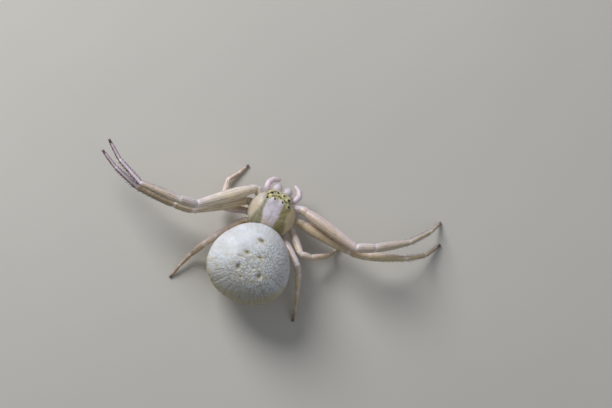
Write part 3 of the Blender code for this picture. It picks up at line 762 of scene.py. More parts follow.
def facts_of(places, pieces):
    """The facts of the union's points from the nearest points of the pieces, and which points are seams."""
    points = [point for piece in pieces for point in piece.points]
    tree = KDTree(len(points))
    for index, point in enumerate(points):
        tree.insert(point, index)
    tree.balance()
    found = [tree.find(place) for place in places]
    rows = np.concatenate([piece.rows for piece in pieces])[[hit[1] for hit in found]]
    return rows, np.array([hit[2] > SAME_PLACE for hit in found])


def soften_seams(mesh, places, rows, seams):
    """Rounds the creases where the pieces meet, and blends their colours across them."""
    a, b = np.array([edge.vertices[:] for edge in mesh.edges]).T
    count = len(places)
    neighbours = np.maximum(1, np.bincount(a, minlength=count) + np.bincount(b, minlength=count))

    def mean(values):
        total = np.zeros_like(values)
        for column in range(values.shape[1]):
            total[:, column] += np.bincount(a, values[b, column], count)
            total[:, column] += np.bincount(b, values[a, column], count)
        return total / neighbours[:, None]

    rings = np.where(seams, 0.0, 99.0)
    for _ in range(SEAM_RINGS):
        spread = rings.copy()
        np.minimum.at(spread, a, rings[b] + 1)
        np.minimum.at(spread, b, rings[a] + 1)
        rings = spread
    weight = np.clip(1 - rings / SEAM_RINGS, 0, 1)[:, None]
    for _ in range(SEAM_PASSES):
        places += 0.5 * weight * (mean(places) - places)
    wide = np.clip(1.4 - rings / SEAM_RINGS, 0, 1)[:, None] * (rings < 99)[:, None]
    for _ in range(2 * SEAM_PASSES):
        for name in ("tint", "parts", "marks"):
            blended = rows[:, FACTS[name]]
            blended += 0.5 * wide * (mean(blended) - blended)


def write_facts(mesh, rows):
    """Puts the facts that the material reads on the mesh."""
    for name in ("parts", "limb", "marks"):
        layer = mesh.attributes.new(name, "FLOAT_VECTOR", "POINT")
        layer.data.foreach_set("vector", rows[:, FACTS[name]].ravel())
    colours = np.column_stack((rows[:, FACTS["tint"]], np.ones(len(rows))))
    mesh.attributes.new("tint", "FLOAT_COLOR", "POINT").data.foreach_set("color", colours.ravel())


def into_frame(places):
    """Places of the design, in millimetres, as metres of the frame."""
    return (np.asarray(places) + np.array(SHIFT)) * METRES


def put_in_scene(name, data):
    """An object of the scene that shows this mesh, light or camera."""
    obj = bpy.data.objects.new(name, data)
    bpy.context.scene.collection.objects.link(obj)
    return obj


def mesh_object(name, places, faces, material):
    """An object in the scene from places of the design."""
    mesh = bpy.data.meshes.new(name)
    mesh.from_pydata(into_frame(places).tolist(), [], faces)
    mesh.materials.append(material)
    mesh.shade_smooth()
    return put_in_scene(name, mesh)


def make_skin(pieces, material):
    """The one skin of the animal. Returns it with its places, normals and facts."""
    places, faces = in_steady_order(union_of(pieces))
    skin = mesh_object("skin", places, faces, material)
    mesh = skin.data
    rows, seams = facts_of(places, pieces)
    soften_seams(mesh, places, rows, seams)
    places[:, 2] = np.maximum(places[:, 2], 0.0)
    mesh.vertices.foreach_set("co", places.ravel())
    mesh.update()
    normals = np.array([point.normal[:] for point in mesh.vertices])
    write_facts(mesh, rows)
    mesh.vertices.foreach_set("co", into_frame(places).ravel())
    mesh.update()
    return skin, places, normals, rows


def vertex_areas(mesh, count):
    """About how much of the surface each point stands for."""
    areas = np.zeros(count)
    for face in mesh.polygons:
        share = face.area / len(face.vertices)
        for index in face.vertices:
            areas[index] += share
    return areas


class HairBatch:
    """Many tapered, curved, closed hairs collected into one mesh, each with its patch of the flat layout."""

    def __init__(self, sides=3, segments=3):
        self.sides, self.segments = sides, segments
        self.points, self.faces, self.flats, self.tipward = [], [], [], []
        cone = ring_faces(segments, sides)
        self.pattern = [[i - 1 for i in face] for face in cone if 0 not in face] + [range(sides)[::-1]]

    def add(self, place, flat, across, t):
        """One point of a hair, with its place across the hair's patch and its share of the length."""
        self.points.append(place)
        self.flats.append((flat[0] + (across - 0.5) * HAIR_PATCH, flat[1] + (t - 0.5) * HAIR_PATCH))
        self.tipward.append(t)

    def grow(self, root, way, bend, length, radius, flat):
        """One hair from a root just under the skin, starting along way and curving towards bend. One that
        would reach into the floor is left out."""
        tip = root + way * length + bend * (length * 0.5)
        if min(root.z, tip.z) < HAIR_CLEARANCE:
            return
        base = len(self.points)
        across = way.cross(bend)
        across = across.normalized() if across.length > 1e-6 else way.orthogonal().normalized()
        for k in range(self.segments):
            t = k / self.segments
            place = root + way * (length * t) + bend * (length * 0.5 * t * t)
            lean = (way + bend * t).normalized()
            first = (across - lean * across.dot(lean)).normalized()
            second = lean.cross(first)
            for i in range(self.sides):
                outward = spoke(first, second, TURN * i / self.sides)
                self.add(place + outward * (radius * (1 - 0.75 * t)), flat, i / self.sides, t)
        self.add(tip, flat, 0.5, 1.0)
        self.faces += [[base + i for i in face] for face in self.pattern]

    def finish(self, name, material):
        """The object, with its OFBake map and how far each point is towards the tip."""
        obj = mesh_object(name, self.points, self.faces, material)
        mesh = obj.data
        corners = [loop.vertex_index for loop in mesh.loops]
        layer = mesh.uv_layers.new(name="OFBake")
        layer.data.foreach_set("uv", np.array(self.flats)[corners].ravel())
        mesh.attributes.new("tipward", "FLOAT", "POINT").data.foreach_set("value", self.tipward)
        return obj


def grow_coat(skin, places, normals, rows, material):
    """Short fine hairs all over the skin, longer on the legs, lying towards the tips and the back."""
    rng = np.random.default_rng(4)
    areas = vertex_areas(skin.data, len(places))
    zones = rows[:, FACTS["zone"]]
    made = []
    for name, zone, count, length, lift, radius in COATS:
        allowed = (zones == zone) & (places[:, 2] > COAT_HEIGHT)
        if zone == ZONE_LEG:
            allowed &= rows[:, FACTS["along"]] > COAT_START
        if zone == ZONE_CARAPACE:
            allowed &= places[:, 2] > MARGIN_HEIGHT
        batch = HairBatch()
        chance = areas * allowed
        for index in rng.choice(len(areas), size=count, replace=False, p=chance / chance.sum()):
            normal, lie = Vector(normals[index]), Vector(rows[index, FACTS["lie"]])
            jitter = Vector(rng.normal(0, 0.18, 3))
            way = (normal * lift + lie + jitter).normalized()
            long = length * rng.uniform(0.6, 1.25)
            bend = (lie * 0.5 - normal * 0.15).normalized() * 0.35
            root = Vector(places[index]) - normal * 0.02
            batch.grow(root, way, bend, long, radius * rng.uniform(0.8, 1.2), rows[index, FACTS["flat"]])
        made.append(batch.finish(name, material))
    return made


def station_at(stations, share):
    """The station at a segment and share of a limb."""
    for before, after in zip(stations, stations[1:]):
        if share <= after.share:
            t = (share - before.share) / max(1e-9, after.share - before.share)
            way = before.way.lerp(after.way, t).normalized()
            radius = before.radius + (after.radius - before.radius) * t
            return Station(before.place.lerp(after.place, t), way, radius, share)
    return stations[-1]


def add_spine(batch, limb, share, degrees, length, radius, lift):
    """One stiff bristle on a limb at an angle from its top."""
    _, stations, strip = limb
    station, turn = station_at(stations, share), math.radians(degrees)
    outward = spoke(*tube_frame(station.way), turn)
    lean = (outward * lift + station.way).normalized()
    flat = (min(0.99, share / 6), strip + STRIP_HEIGHT * ((turn / TURN) % 1))
    root = station.place + outward * (station.radius * 0.92)
    batch.grow(root, lean, station.way * 0.25, length, radius, flat)


def grow_front_spines(batch, limb, rng):
    """The paired bristles under a front leg, and the few on the side of its femur."""
    for count, start, spacing, angle, spread, length, shortening, radius, lift in SPINE_ROWS:
        for k in range(count):
            for sign in (1, -1):
                degrees = sign * (angle + rng.uniform(-spread, spread))
                add_spine(batch, limb, start + spacing * k, degrees, length - shortening * k, radius, lift)
    for share in FEMUR_SPINES:
        add_spine(batch, limb, share, 55 * rng.choice((1, -1)), 0.20, 0.014, 0.6)


def grow_spines(limbs, material):
    """The bristles of the front legs, and the few on the back of every leg."""
    rng = random.Random(9)
    below, above = HairBatch(5, 4), HairBatch(5, 4)
    for limb in limbs:
        front = limb[0][1] <= 2
        if front:
            grow_front_spines(below, limb, rng)
        for share in BACK_SPINES[front]:
            add_spine(above, limb, share, rng.uniform(-25, 25), rng.uniform(0.22, 0.30), 0.015, 0.9)
    return [below.finish("leg_spines_below", material), above.finish("leg_bristles_above", material)]


def grow_tufts(limbs, material):
    """The dense short tuft round the claws of every foot."""
    rng = random.Random(31)
    batch = HairBatch(4, 3)
    for _, stations, strip in limbs:
        end, way, radius, _ = stations[-1]
        upper, side = tube_frame(way)
        for k in range(TUFT_HAIRS):
            turn = TURN * k / TUFT_HAIRS + rng.uniform(-0.2, 0.2)
            outward = spoke(upper, side, turn)
            root = end + outward * (radius * rng.uniform(0.35, 0.92)) + way * (rng.uniform(-0.03, 0.02))
            lean = (way + outward * 0.55).normalized()
            length = TUFT_LENGTH * rng.uniform(0.7, 1.1)
            flat = (0.985, strip + STRIP_HEIGHT * ((turn / TURN) % 1))
            batch.grow(root, lean, -outward * 0.3, length, TUFT_RADIUS, flat)
    return [batch.finish("foot_tufts", material)]


def hook(root, way, down, length, curl, radii, sides):
    """Points and faces of a closed cone that starts along way, curls towards down and stays off the floor."""
    last = len(radii) - 1
    path = []
    for i in range(last + 1):
        t = i / last
        path.append(root + way * (length * t) + down * (curl * length * t * t))
        path[-1].z = max(path[-1].z, CLAW_HEIGHT)
    points, across = [path[0]], None
    for k, (place, radius) in enumerate(zip(path, radii)):
        ahead = (path[min(k + 1, last)] - path[max(k - 1, 0)]).normalized()
        across = across or ahead.orthogonal()
        across = (across - ahead * across.dot(ahead)).normalized()
        other = ahead.cross(across)
        points += [place + spoke(across, other, TURN * i / sides) * radius for i in range(sides)]
    points.append(path[-1] + (path[-1] - path[-2]).normalized() * radii[-1])
    for point in points:
        point.z = max(point.z, CLAW_CLEARANCE)
    return points, ring_faces(len(path), sides)


def make_claws(limbs, material):
    """Two small curved claws at the end of each leg, as one object for each leg."""
    made = []
    length, curl, thick = CLAW
    radii = [thick * (1 - 0.80 * i / 8) for i in range(9)]
    for (side, pair), stations, _ in limbs:
        end, way, radius, _ = stations[-1]
        upper, across = tube_frame(way)
        points, faces = [], []
        for sign in (1, -1):
            root = end + across * (sign * 0.38 * radius) + upper * (0.25 * radius) + way * (0.15 * radius)
            ahead = (way + across * (0.22 * sign) + upper * 0.10).normalized()
            more, rings = hook(root, ahead, -upper, length, curl, radii, 8)
            faces += [[len(points) + i for i in face] for face in rings]
            points += more
        made.append(mesh_object(f"claws_{pair}_{side}", points, faces, material))
    return made


def make_fangs(jaws, material):
    """The short fang of each chelicera, folded inwards."""
    made = []
    length, curl, thick = FANG
    radii = [thick * (1 - 0.82 * (i / 10) ** 1.3) for i in range(11)]
    for side, sign, stations in jaws:
        end, way, radius, _ = stations[-1]
        inward = Vector((-sign * 0.85, 0.45, -0.25)).normalized()
        points, faces = hook(end + way * (0.2 * radius), way, inward, length, curl, radii, 12)
        made.append(mesh_object(f"fang_{side}", points, faces, material))
    return made


def make_eyes(body, material):
    """Eight polished lenses, each set into its hump."""
    made = []
    rings, sides = 12, 28
    for name, x, y, radius, _, _ in EYE_PLACES:
        place, normal, _, _ = body.ray_cast(Vector((x, y, 6)), -UP)
        normal = normal if normal.z > 0 else -normal
        across = normal.orthogonal().normalized()
        other = normal.cross(across)
        middle = place + normal * (EYE_SINK * radius)
        points = [middle - normal * (0.75 * radius)]
        # Rings from 50 degrees below the lens's widest line to 86 above it
        for k in range(rings):
            lift = math.radians(-50 + 136 * k / (rings - 1))
            for i in range(sides):
                outward = spoke(across, other, TURN * i / sides) * (radius * math.cos(lift))
                points.append(middle + outward + normal * (radius * math.sin(lift)))
        points.append(middle + normal * radius)
        made.append((name, mesh_object(f"lens_{name}", points, ring_faces(rings, sides), material)))
    return made


class Value:
    """A value in a material's node tree, with the sums and patterns that start from it."""

    def __init__(self, nodes, socket):
        self.nodes, self.socket = nodes, socket

    def math(self, operation, other, order=1):
        """This value and another one through a node of sums; order -1 puts the other one first."""
        wide = self.socket.type == "VECTOR" or isinstance(other, tuple)
        kind = "ShaderNodeVectorMath" if wide else "ShaderNodeMath"
        return self.nodes.add(kind, enumerate((self, other)[::order]), operation=operation)

    def __add__(self, other):
        return self.math("ADD", other)

    def __sub__(self, other):
        return self.math("SUBTRACT", other)

    def __rsub__(self, other):
        return self.math("SUBTRACT", other, -1)

    def __mul__(self, other):
        return self.math("MULTIPLY", other)

    def __abs__(self):
        return self.math("ABSOLUTE", 0.0)

    __radd__, __rmul__ = __add__, __mul__

    def vector(self, operation, output=0):
        return self.nodes.add("ShaderNodeVectorMath", {0: self}, output, operation=operation)

    def length(self):
        return self.vector("LENGTH", 1)

    def part(self, index):
        return self.nodes.add("ShaderNodeSeparateXYZ", {0: self}, index)

    def parts(self):
        return [self.part(index) for index in range(3)]

    def rise(self, low, high):
        """0 at low, 1 at high, and a smooth step in between; low may be the larger."""
        ends = (low, high, 0.0, 1.0) if low < high else (high, low, 1.0, 0.0)
        values = enumerate((self, *ends))
        return self.nodes.add("ShaderNodeMapRange", values, interpolation_type="SMOOTHSTEP")

    def bell(self, middle, width):
        """1 at middle, falling to 0 at width to either side."""
        return abs(self - middle).rise(width, 0.0)

    def blend(self, low, high):
        """From the colour low at 0 to the colour high at 1."""
        return self.nodes.mix(self, low, high)

    def paint(self, share, *colour):
        """This colour with another one over it."""
        return self.nodes.mix(share, self, colour)

    def noise(self, scale, detail=2.0, roughness=0.5, distortion=0.0):
        values = {"Vector": self, "Scale": scale, "Detail": detail, "Roughness": roughness,
                  "Distortion": distortion}
        return self.nodes.add("ShaderNodeTexNoise", values)

    def cells(self, scale, output=0):
        return self.nodes.add("ShaderNodeTexVoronoi", {"Vector": self, "Scale": scale}, output)

    def from_line(self, start, end):
        """Distance of a place, seen from above, from the line between two points."""
        along = Vector((*end, 0)) - Vector((*start, 0))
        offset = self * (1, 1, 0) - (*start, 0)
        ends = {0: offset, 1: tuple(along)}
        dot = self.nodes.add("ShaderNodeVectorMath", ends, 1, operation="DOT_PRODUCT")
        share = self.nodes.add("ShaderNodeClamp", {0: dot * (1 / along.length_squared)})
        return (offset - share * tuple(along)).length()


class Nodes:
    """Short ways to write a material's node tree. Colours are given as screen colours from 0 to 255."""

    def __init__(self, name):
        self.material = bpy.data.materials.new(name)
        self.material.use_nodes = True
        self.tree = self.material.node_tree
        self.shader = self.tree.nodes["Principled BSDF"]

    def join(self, value, socket):
        """Gives a socket a value, which is a link, a colour, a vector or a number."""
        if isinstance(value, Value):
            self.tree.links.new(value.socket, socket)
        elif socket.type == "RGBA":
            socket.default_value = (*srgb(*value), 1)
        elif socket.type == "VECTOR" and not isinstance(value, tuple):
            socket.default_value = (value, value, value)
        else:
            socket.default_value = value

    def add(self, kind, values=(), output=0, **settings):
        node = self.tree.nodes.new(kind)
        for key, value in settings.items():
            setattr(node, key, value)
        for socket, value in dict(values).items():
            self.join(value, node.inputs[socket])
        return Value(self, node.outputs[output])

    def mix(self, share, low, high):
        values = {0: share, 6: low, 7: high}
        return self.add("ShaderNodeMix", values, 2, data_type="RGBA", blend_type="MIX")

    def attribute(self, name, output=1):
        return self.add("ShaderNodeAttribute", (), output, attribute_name=name)

    def design_place(self):
        """The place of the shaded point in the design, in millimetres."""
        return self.add("ShaderNodeTexCoord", (), 3) * (1 / METRES) - tuple(SHIFT)

    def bump(self, height, distance):
        values = {"Height": height, "Distance": distance * METRES, "Strength": 1.0}
        return self.add("ShaderNodeBump", values)

    def finish(self, **values):
        """The material, with these values on its shader."""
        for name, value in values.items():
            self.join(value, self.shader.inputs[name.replace("_", " ")])
        return self.material


def abdomen_look(place, marks):
    """Colour, bump height and roughness of the satin white abdomen, granular on top, streaked at its rim."""
    dark, crease, below = marks
    local = place - tuple(ABDOMEN_CENTRE)
    x, y = local.part(0), local.part(1)
    far = (local * (1, 1, 0.6)).length()
    soft = place.noise(1.0, 3)
    grain = place.noise(9.0, 3, 0.6)
    rear = y.rise(-0.8, 1.3)
    middle = far.rise(2.2, 0.9) * y.rise(-1.6, -0.6)
    rim = far.rise(1.2, 2.5) * (0.65 + 0.30 * rear)
    # Granules: pale grains with darker gaps, over the middle and the rear
    smooth = (0.75 * x - 0.60 * y + 1.6 * soft).rise(0.6, 2.2)
    granular = place.cells(7.2).rise(0.30, 0.74) * (1.0 - 0.88 * smooth) * (1.0 - 0.45 * far.rise(1.9, 2.8))
    # Fine streaks that run outwards over the rim
    around = (local * (1, 1, 0)).vector("NORMALIZE")
    spun = around * 25.0 + far * (0.0, 0.0, 4.0)
    streaked = spun.noise(1.0, 2, 0.6).rise(0.46, 0.66) * rim
    white = soft.rise(0.38, 0.62).blend((232, 237, 248), (220, 224, 232))
    # The cream underside is partly the abdomen's own tone and partly painted yellow reflected light
    cream = grain.rise(0.35, 0.65).blend((204, 187, 132), (220, 207, 164))
    edge = below + 0.7 * (place.noise(1.6, 3) - 0.5)
    colour = (0.85 * edge.rise(-0.1, 1.1)).blend(white, cream)
    colour = colour.paint(0.62 * granular, 152, 152, 142)
    colour = colour.paint(0.36 * streaked, 182, 182, 176)
    warm = place.noise(1.9, 3, 0.6).rise(0.46, 0.66) * middle.math("MAXIMUM", rear)
    colour = colour.paint(0.50 * warm, 202, 193, 152)
    # Painted shade in the radial creases
    colour = colour.paint(0.42 * crease.math("MINIMUM", 1.0), 136, 130, 110)
    # Pits: a dark ragged middle in a tan halo
    torn = place.noise(5.5, 4, 0.7, 0.6)
    pits = (dark + 1.3 * (torn - 0.5)).rise(0.45, 0.95) * dark.rise(0.10, 0.30)
    colour = colour.paint(0.60 * dark.rise(0.02, 0.40), 196, 186, 152)
    colour = colour.paint(0.70 * pits, 112, 98, 82)
    # Painted shade: the abdomen grows darker towards its rear
    colour = colour.paint(0.40 * y.rise(0.3, 2.1), 146, 144, 128)
    height = -0.65 * granular - 0.55 * streaked + 0.35 * grain + 0.20 * place.noise(18.0, 2)
    return colour, height, 0.40 + 0.24 * grain


def eye_field(place, colour):
    """The yellow field round the eyes, its thin dark lines, and the rings of the eyes, over a colour."""
    x, y, z = place.parts()
    aside = abs(x)
    ragged = 0.10 * (place.noise(5.0, 2) - 0.5)
    border = 0.93 - 0.28 * aside.rise(0.30, 0.78)
    field = (ragged - y - border).rise(-0.05, 0.05) * (aside + ragged).rise(0.98, 0.88)
    field = field * (z + ragged).rise(FIELD_FOOT - 0.08, FIELD_FOOT + 0.08)
    tangle = place.noise(5.6, 3, 0.6, 0.4)
    yellow = tangle.rise(0.38, 0.60).blend((214, 203, 112), (238, 233, 188))
    lines = tangle.bell(0.44, 0.060).math("MAXIMUM", tangle.bell(0.57, 0.050))
    colour = (0.94 * field).blend(colour, yellow.paint(0.85 * lines, 74, 64, 32))
    for start, end in EYE_LINES:
        distance = place.from_line(start, end) + 0.3 * ragged
        colour = colour.paint(0.88 * distance.rise(0.070, 0.030), 56, 48, 26)
    for _, eye_x, eye_y, radius, _, _ in EYE_PLACES:
        distance = ((place - (eye_x, eye_y, 0)) * (1, 1, 0)).length()
        colour = colour.paint(0.40 * distance.bell(radius * 1.6, 0.05), 222, 218, 186)
        colour = colour.paint(0.85 * distance.rise(radius * 1.02, radius * 0.85), 58, 46, 34)
    return colour


def carapace_look(place):
    """Colour and roughness of the translucent carapace, with its pale band and olive sides."""
    x, y, z = place.parts()
    wander = 0.16 * (place.noise(2.2, 3) - 0.5)
    aside = x + wander
    taper = 0.26 * y.rise(0.0, 1.2)
    # The band stops nearer the midline on the right than on the left: painted shade over its right side
    right_edge = (-1.0 * aside) - (0.42 - 0.2 * taper)
    band = (aside - (0.70 - taper)).math("MAXIMUM", right_edge).rise(-0.07, 0.13)
    left = x.rise(-0.1, 0.1)
    margin = (abs(x) + wander - 0.26 * y.rise(-0.1, 1.0)).rise(0.86, 1.16)
    clouds = place.noise(3.0, 4, 0.6)
    pale = clouds.rise(0.36, 0.64).blend((228, 221, 235), (206, 196, 206))
    pale = pale.paint(0.7 * y.rise(0.1, 1.2), 196, 181, 158)
    # On the right side the olive band and the margin are yellower and brighter than on the left: painted
    # yellow reflected light on the shaded side
    olive = left.blend((154, 142, 96), (140, 136, 108))
    olive = olive.paint(0.45 * clouds.rise(0.42, 0.68), 160, 150, 116)
    shell = left.blend((228, 210, 168), (206, 192, 172))
    shell = shell.paint(0.3 * clouds.rise(0.42, 0.66), 214, 204, 184)
    # Painted highlight: the front of the left margin is lighter
    shell = shell.paint(0.55 * left * y.rise(0.2, -0.9), 214, 206, 206)
    colour = band.blend(pale, margin.blend(olive, shell))
    streaks = (place * (7.0, 1.2, 1.0)).noise(1.0, 2)
    colour = colour.paint(0.22 * streaks.rise(0.5, 0.7), 216, 208, 200)
    # Painted highlight along the carapace's rim, just above the margin
    colour = colour.paint(0.55 * z.bell(MARGIN_HEIGHT + 0.10, 0.16), 222, 214, 206)
    colour = eye_field(place, colour)
    colour = colour.paint(z.rise(MARGIN_HEIGHT - 0.02, MARGIN_HEIGHT - 0.22), 204, 186, 146)
    return colour, 0.24 + 0.16 * clouds


def limb_look(place, limb, tint, marks, leg):
    """Colour, bump height and roughness of the legs and mouthparts: translucent, lined and finely dotted."""
    top, aside, joint = limb
    foot, distal, lined = marks
    clouds = place.noise(2.6, 3, 0.55)
    angle = aside.math("ARCTAN2", top) + 0.22 * (place.noise(3.5, 2) - 0.5)
    lines = 0.0
    for degrees, strength in LINES:
        lines = lines + strength * angle.bell(math.radians(degrees), math.radians(5.5))
    lines = lines * place.noise(1.6, 2).rise(0.34, 0.54) * leg * lined * (1.0 - joint)
    colour = clouds.rise(0.35, 0.65).blend(tint, tint.paint(0.24, 240, 228, 226))
    # Painted highlight: lilac on the side of each limb that faces forward
    colour = colour.paint(0.42 * aside.rise(0.05, 0.85), 226, 216, 236)
    # Painted yellow reflected light: warm cream on the rear side and the underside of the legs
    colour = colour.paint(0.36 * leg * aside.rise(0.25, -0.75), 204, 186, 132)
    colour = colour.paint(0.45 * leg * top.rise(-0.2, -0.9), 206, 180, 130)
    colour = colour.paint(0.66 * lines, 110, 92, 50)
    dots = place.cells(3.4).rise(0.125, 0.080) * place.cells(3.4, 1).part(0).rise(0.42, 0.46)
    colour = colour.paint(0.85 * dots, 88, 58, 54)
    pearls = place.cells(5.2).rise(0.20, 0.10) * place.cells(5.2, 1).part(1).rise(0.66, 0.72)
    colour = colour.paint((0.85 - 0.20 * leg) * pearls, 248, 244, 254)
    flecked = place.noise(4.2, 2).rise(0.36, 0.60)
    # Painted highlight in flecks on top of each leg joint, and painted shade under it
    colour = colour.paint(0.54 * joint * flecked * top.rise(-0.1, 0.6), 250, 247, 255)
    colour = colour.paint(0.40 * joint * top.rise(0.1, -0.7), 170, 140, 118)
    purple = distal * abs(angle).rise(0.42, 0.92) * (0.60 + flecked)
    colour = colour.paint(0.90 * purple.math("MINIMUM", 1.0), 78, 44, 70)
    colour = colour.paint(0.94 * foot, 50, 16, 42)
    height = 0.5 * place.noise(13.0, 3, 0.6) - 0.3 * lines + 0.6 * pearls
    return colour, height, 0.15 + 0.16 * clouds


def skin_material():
    """One material for the whole skin, blended from the three looks by the facts on its points."""
    nodes = Nodes("skin")
    place = nodes.design_place()
    abdominal, dorsal, leg = nodes.attribute("parts").parts()
    limb = nodes.attribute("limb").parts()
    marks = nodes.attribute("marks").parts()
    abdomen, abdomen_height, abdomen_roughness = abdomen_look(place, marks)
    shell, shell_roughness = carapace_look(place)
    flesh, flesh_height, flesh_roughness = limb_look(place, limb, nodes.attribute("tint", 0), marks, leg)
    of_abdomen, of_carapace = abdominal.rise(0.25, 0.75), dorsal.rise(0.25, 0.75)
    of_flesh = 1.0 - (of_abdomen + of_carapace)
    colour = of_abdomen.blend(of_carapace.blend(flesh, shell), abdomen)
    height = abdomen_height * of_abdomen + flesh_height * (1.0 - of_abdomen)
    roughness = abdomen_roughness * of_abdomen + shell_roughness * of_carapace + flesh_roughness * of_flesh
    return nodes.finish(
        Base_Color=colour, Roughness=roughness, Normal=nodes.bump(height, 0.026), Subsurface_Weight=0.30,
        Subsurface_Radius=(1.0, 0.72, 0.50), Subsurface_Scale=0.35 * METRES, Specular_IOR_Level=0.48,
    )


def hair_material(name, root, tip):
    """Hair whose colour changes unevenly from its root to its tip."""
    nodes = Nodes(name)
    uneven = nodes.attribute("tipward", 2) + 0.5 * (nodes.design_place().noise(4.0) - 0.5)
    return nodes.finish(Base_Color=uneven.rise(0.0, 1.0).blend(root, tip), Roughness=0.45)


def eye_material():
    """Glossy black with a brown depth."""
    nodes = Nodes("eye_lens")
    place = nodes.design_place()
    colour = place.noise(7.0, 3).rise(0.4, 0.65).blend((20, 14, 14), (48, 32, 26))
    roughness = 0.05 + 0.06 * place.noise(20.0)
    return nodes.finish(Base_Color=colour, Roughness=roughness, Coat_Weight=0.6, Coat_Roughness=0.03)


def horn_material():
    """Dark red-brown horn of the claws and fangs."""
    nodes = Nodes("claw_horn")
    grain = nodes.design_place().noise(16.0, 3)
    colour = grain.rise(0.35, 0.65).blend((70, 40, 44), (104, 62, 58))
    return nodes.finish(Base_Color=colour, Roughness=0.22 + 0.2 * grain, Normal=nodes.bump(grain, 0.004))


def floor_material():
    """Pale matt floor with a very faint change of tone."""
    nodes = Nodes("floor")
    tone = nodes.design_place().noise(0.05, 3).rise(0.3, 0.7)
    return nodes.finish(Base_Color=tone.blend(*FLOOR_TONES), Roughness=0.75)


def add_floor():
    """A wide pale floor, which isn't part of the animal."""
    corners = [(x * FLOOR_REACH, y * FLOOR_REACH, 0) for x, y in ((-1, -1), (1, -1), (1, 1), (-1, 1))]
    mesh = bpy.data.meshes.new("floor")
    mesh.from_pydata(corners, [], [(0, 1, 2, 3)])
    mesh.materials.append(floor_material())
    put_in_scene("floor", mesh)


def picture_axes():
    """Right, up and towards the viewer, as the picture sees the design."""
    towards = Vector((math.tan(TILT_LEFT), math.tan(TILT_REAR), 1)).normalized()
    ahead = (FORWARD - towards * FORWARD.dot(towards)).normalized()
    right = ahead.cross(towards)
    up = ahead * math.cos(HEAD_TURN) - right * math.sin(HEAD_TURN)
    across = ahead * math.sin(HEAD_TURN) + right * math.cos(HEAD_TURN)
    return across, up, towards


def add_camera():
    """The camera that frames the animal as the picture does."""
    across, up, towards = picture_axes()
    distance = PICTURE_WIDTH * MM_PER_PIXEL / 2 / (SENSOR / 2 / LENS)
    right_by = (LOOK_PIXEL[0] - PICTURE_WIDTH / 2) * MM_PER_PIXEL
    up_by = (PICTURE_HEIGHT / 2 - LOOK_PIXEL[1]) * MM_PER_PIXEL
    place = LOOK_POINT + towards * distance - across * right_by - up * up_by
    camera = bpy.data.cameras.new("camera")
    camera.lens, camera.sensor_width = LENS, SENSOR
    camera.clip_start, camera.clip_end = 0.005, 10
    obj = put_in_scene("camera", camera)
    turned = Matrix((across, up, towards)).transposed().to_4x4()
    obj.matrix_world = Matrix.Translation(into_frame([place])[0]) @ turned
    bpy.context.scene.camera = obj


def add_light(name, right, up, towards, size, power, colour):
    """A soft round light, placed by the picture's axes in millimetres from the animal."""
    axes = picture_axes()
    way = axes[0] * right + axes[1] * up + axes[2] * towards
    light = bpy.data.lights.new(name, "AREA")
    light.shape, light.size = "DISK", size * METRES
    light.energy, light.color = power, colour
    obj = put_in_scene(name, light)
    obj.location = way * METRES
    obj.rotation_euler = way.to_track_quat("Z", "Y").to_euler()


def set_look():
    """Soft light from all round, and colours shown as they are."""
    world = bpy.data.worlds.new("studio")
    world.use_nodes = True
    colour, strength = world.node_tree.nodes["Background"].inputs[:2]
    colour.default_value, strength.default_value = WORLD_COLOUR, WORLD_STRENGTH
    scene = bpy.context.scene
    scene.world = world
    scene.view_settings.view_transform = "Standard"
    scene.view_settings.look = "None"


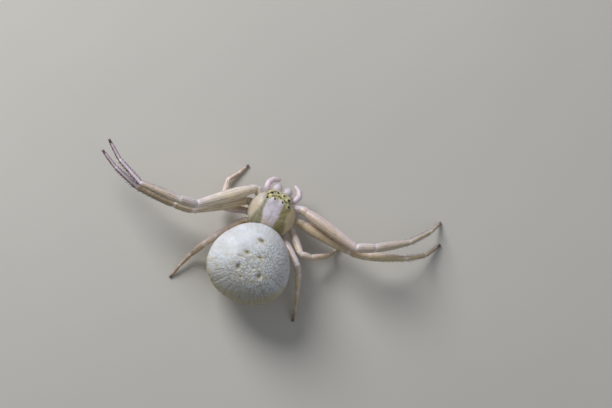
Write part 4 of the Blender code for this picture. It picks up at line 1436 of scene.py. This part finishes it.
def make_pieces():
    """The closed surfaces that become the skin, with the stations of the limbs that carry bristles, claws
    and fangs."""
    pieces = [
        polar_piece("abdomen", abdomen_facts, ABDOMEN_COLUMNS, ABDOMEN_RINGS),
        polar_piece("cephalothorax", carapace_facts, CARAPACE_COLUMNS, CARAPACE_RINGS),
    ]
    strip = 0.5
    legs, jaws = [], []
    for side, sign in SIDES_OF_BODY:
        for pair in LENGTHS:
            piece, stations = leg_piece(side, pair, strip)
            pieces.append(piece)
            legs.append(((side, pair), stations, strip))
            strip += STRIP_HEIGHT
        piece, _ = soft_limb(f"palp_{side}", PALPS[side], PALP_RADII, 24, PALP_TINTS, ZONE_PALP, strip)
        pieces.append(piece)
        strip += STRIP_HEIGHT
        jaw = [(CHELICERA_MIDDLE + sign * x, y, z) for x, y, z in CHELICERA_PATH]
        piece, stations = soft_limb(f"chelicera_{side}", jaw, CHELICERA_RADII, 32, CHELICERA_TINTS,
                                    ZONE_CHELICERA, strip, FORWARD)
        pieces.append(piece)
        jaws.append((side, sign, stations))
        strip += STRIP_HEIGHT
    return pieces + waist_and_spinnerets(strip), legs, jaws


def add_spider(frame):
    """The whole animal, which takes the place of the imported parts and hides them."""
    pieces, legs, jaws = make_pieces()
    body = surface_of(pieces[1])
    skin, places, normals, rows = make_skin(pieces, skin_material())
    flesh = [name for name in frame["nodes"] if not name.startswith("eye")]
    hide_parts(*flesh)
    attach(skin, "root")
    for name, lens in make_eyes(body, eye_material()):
        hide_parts(name)
        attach(lens, "root")
    horn = horn_material()
    grown = make_claws(legs, horn) + make_fangs(jaws, horn)
    hairs = hair_material("fine_hair", (196, 186, 174), (238, 234, 228))
    grown += grow_coat(skin, places, normals, rows, hairs)
    bristle = hair_material("bristle", (120, 82, 98), (66, 30, 50))
    grown += grow_spines(legs, bristle) + grow_tufts(legs, bristle)
    for obj in grown:
        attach(obj, "root")


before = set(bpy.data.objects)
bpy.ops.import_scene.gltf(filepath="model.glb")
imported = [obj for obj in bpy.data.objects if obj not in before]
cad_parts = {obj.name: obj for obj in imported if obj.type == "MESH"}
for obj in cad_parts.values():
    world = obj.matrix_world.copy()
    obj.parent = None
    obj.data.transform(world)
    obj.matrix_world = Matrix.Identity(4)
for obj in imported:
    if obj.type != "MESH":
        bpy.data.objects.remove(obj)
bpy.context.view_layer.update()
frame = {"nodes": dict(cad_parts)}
carapace_low, carapace_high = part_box("cephalothorax")
_, abdomen_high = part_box("abdomen")
SHIFT = Vector((
    (carapace_low.x + carapace_high.x) / 2 / METRES,
    abdomen_high.y / METRES - (ABDOMEN_CENTRE.y + ABDOMEN_LENGTH / 2 - ABDOMEN_EGG),
    0,
))
add_spider(frame)
add_floor()
for name, light in LIGHTS.items():
    add_light(name, *light)
add_camera()
set_look()
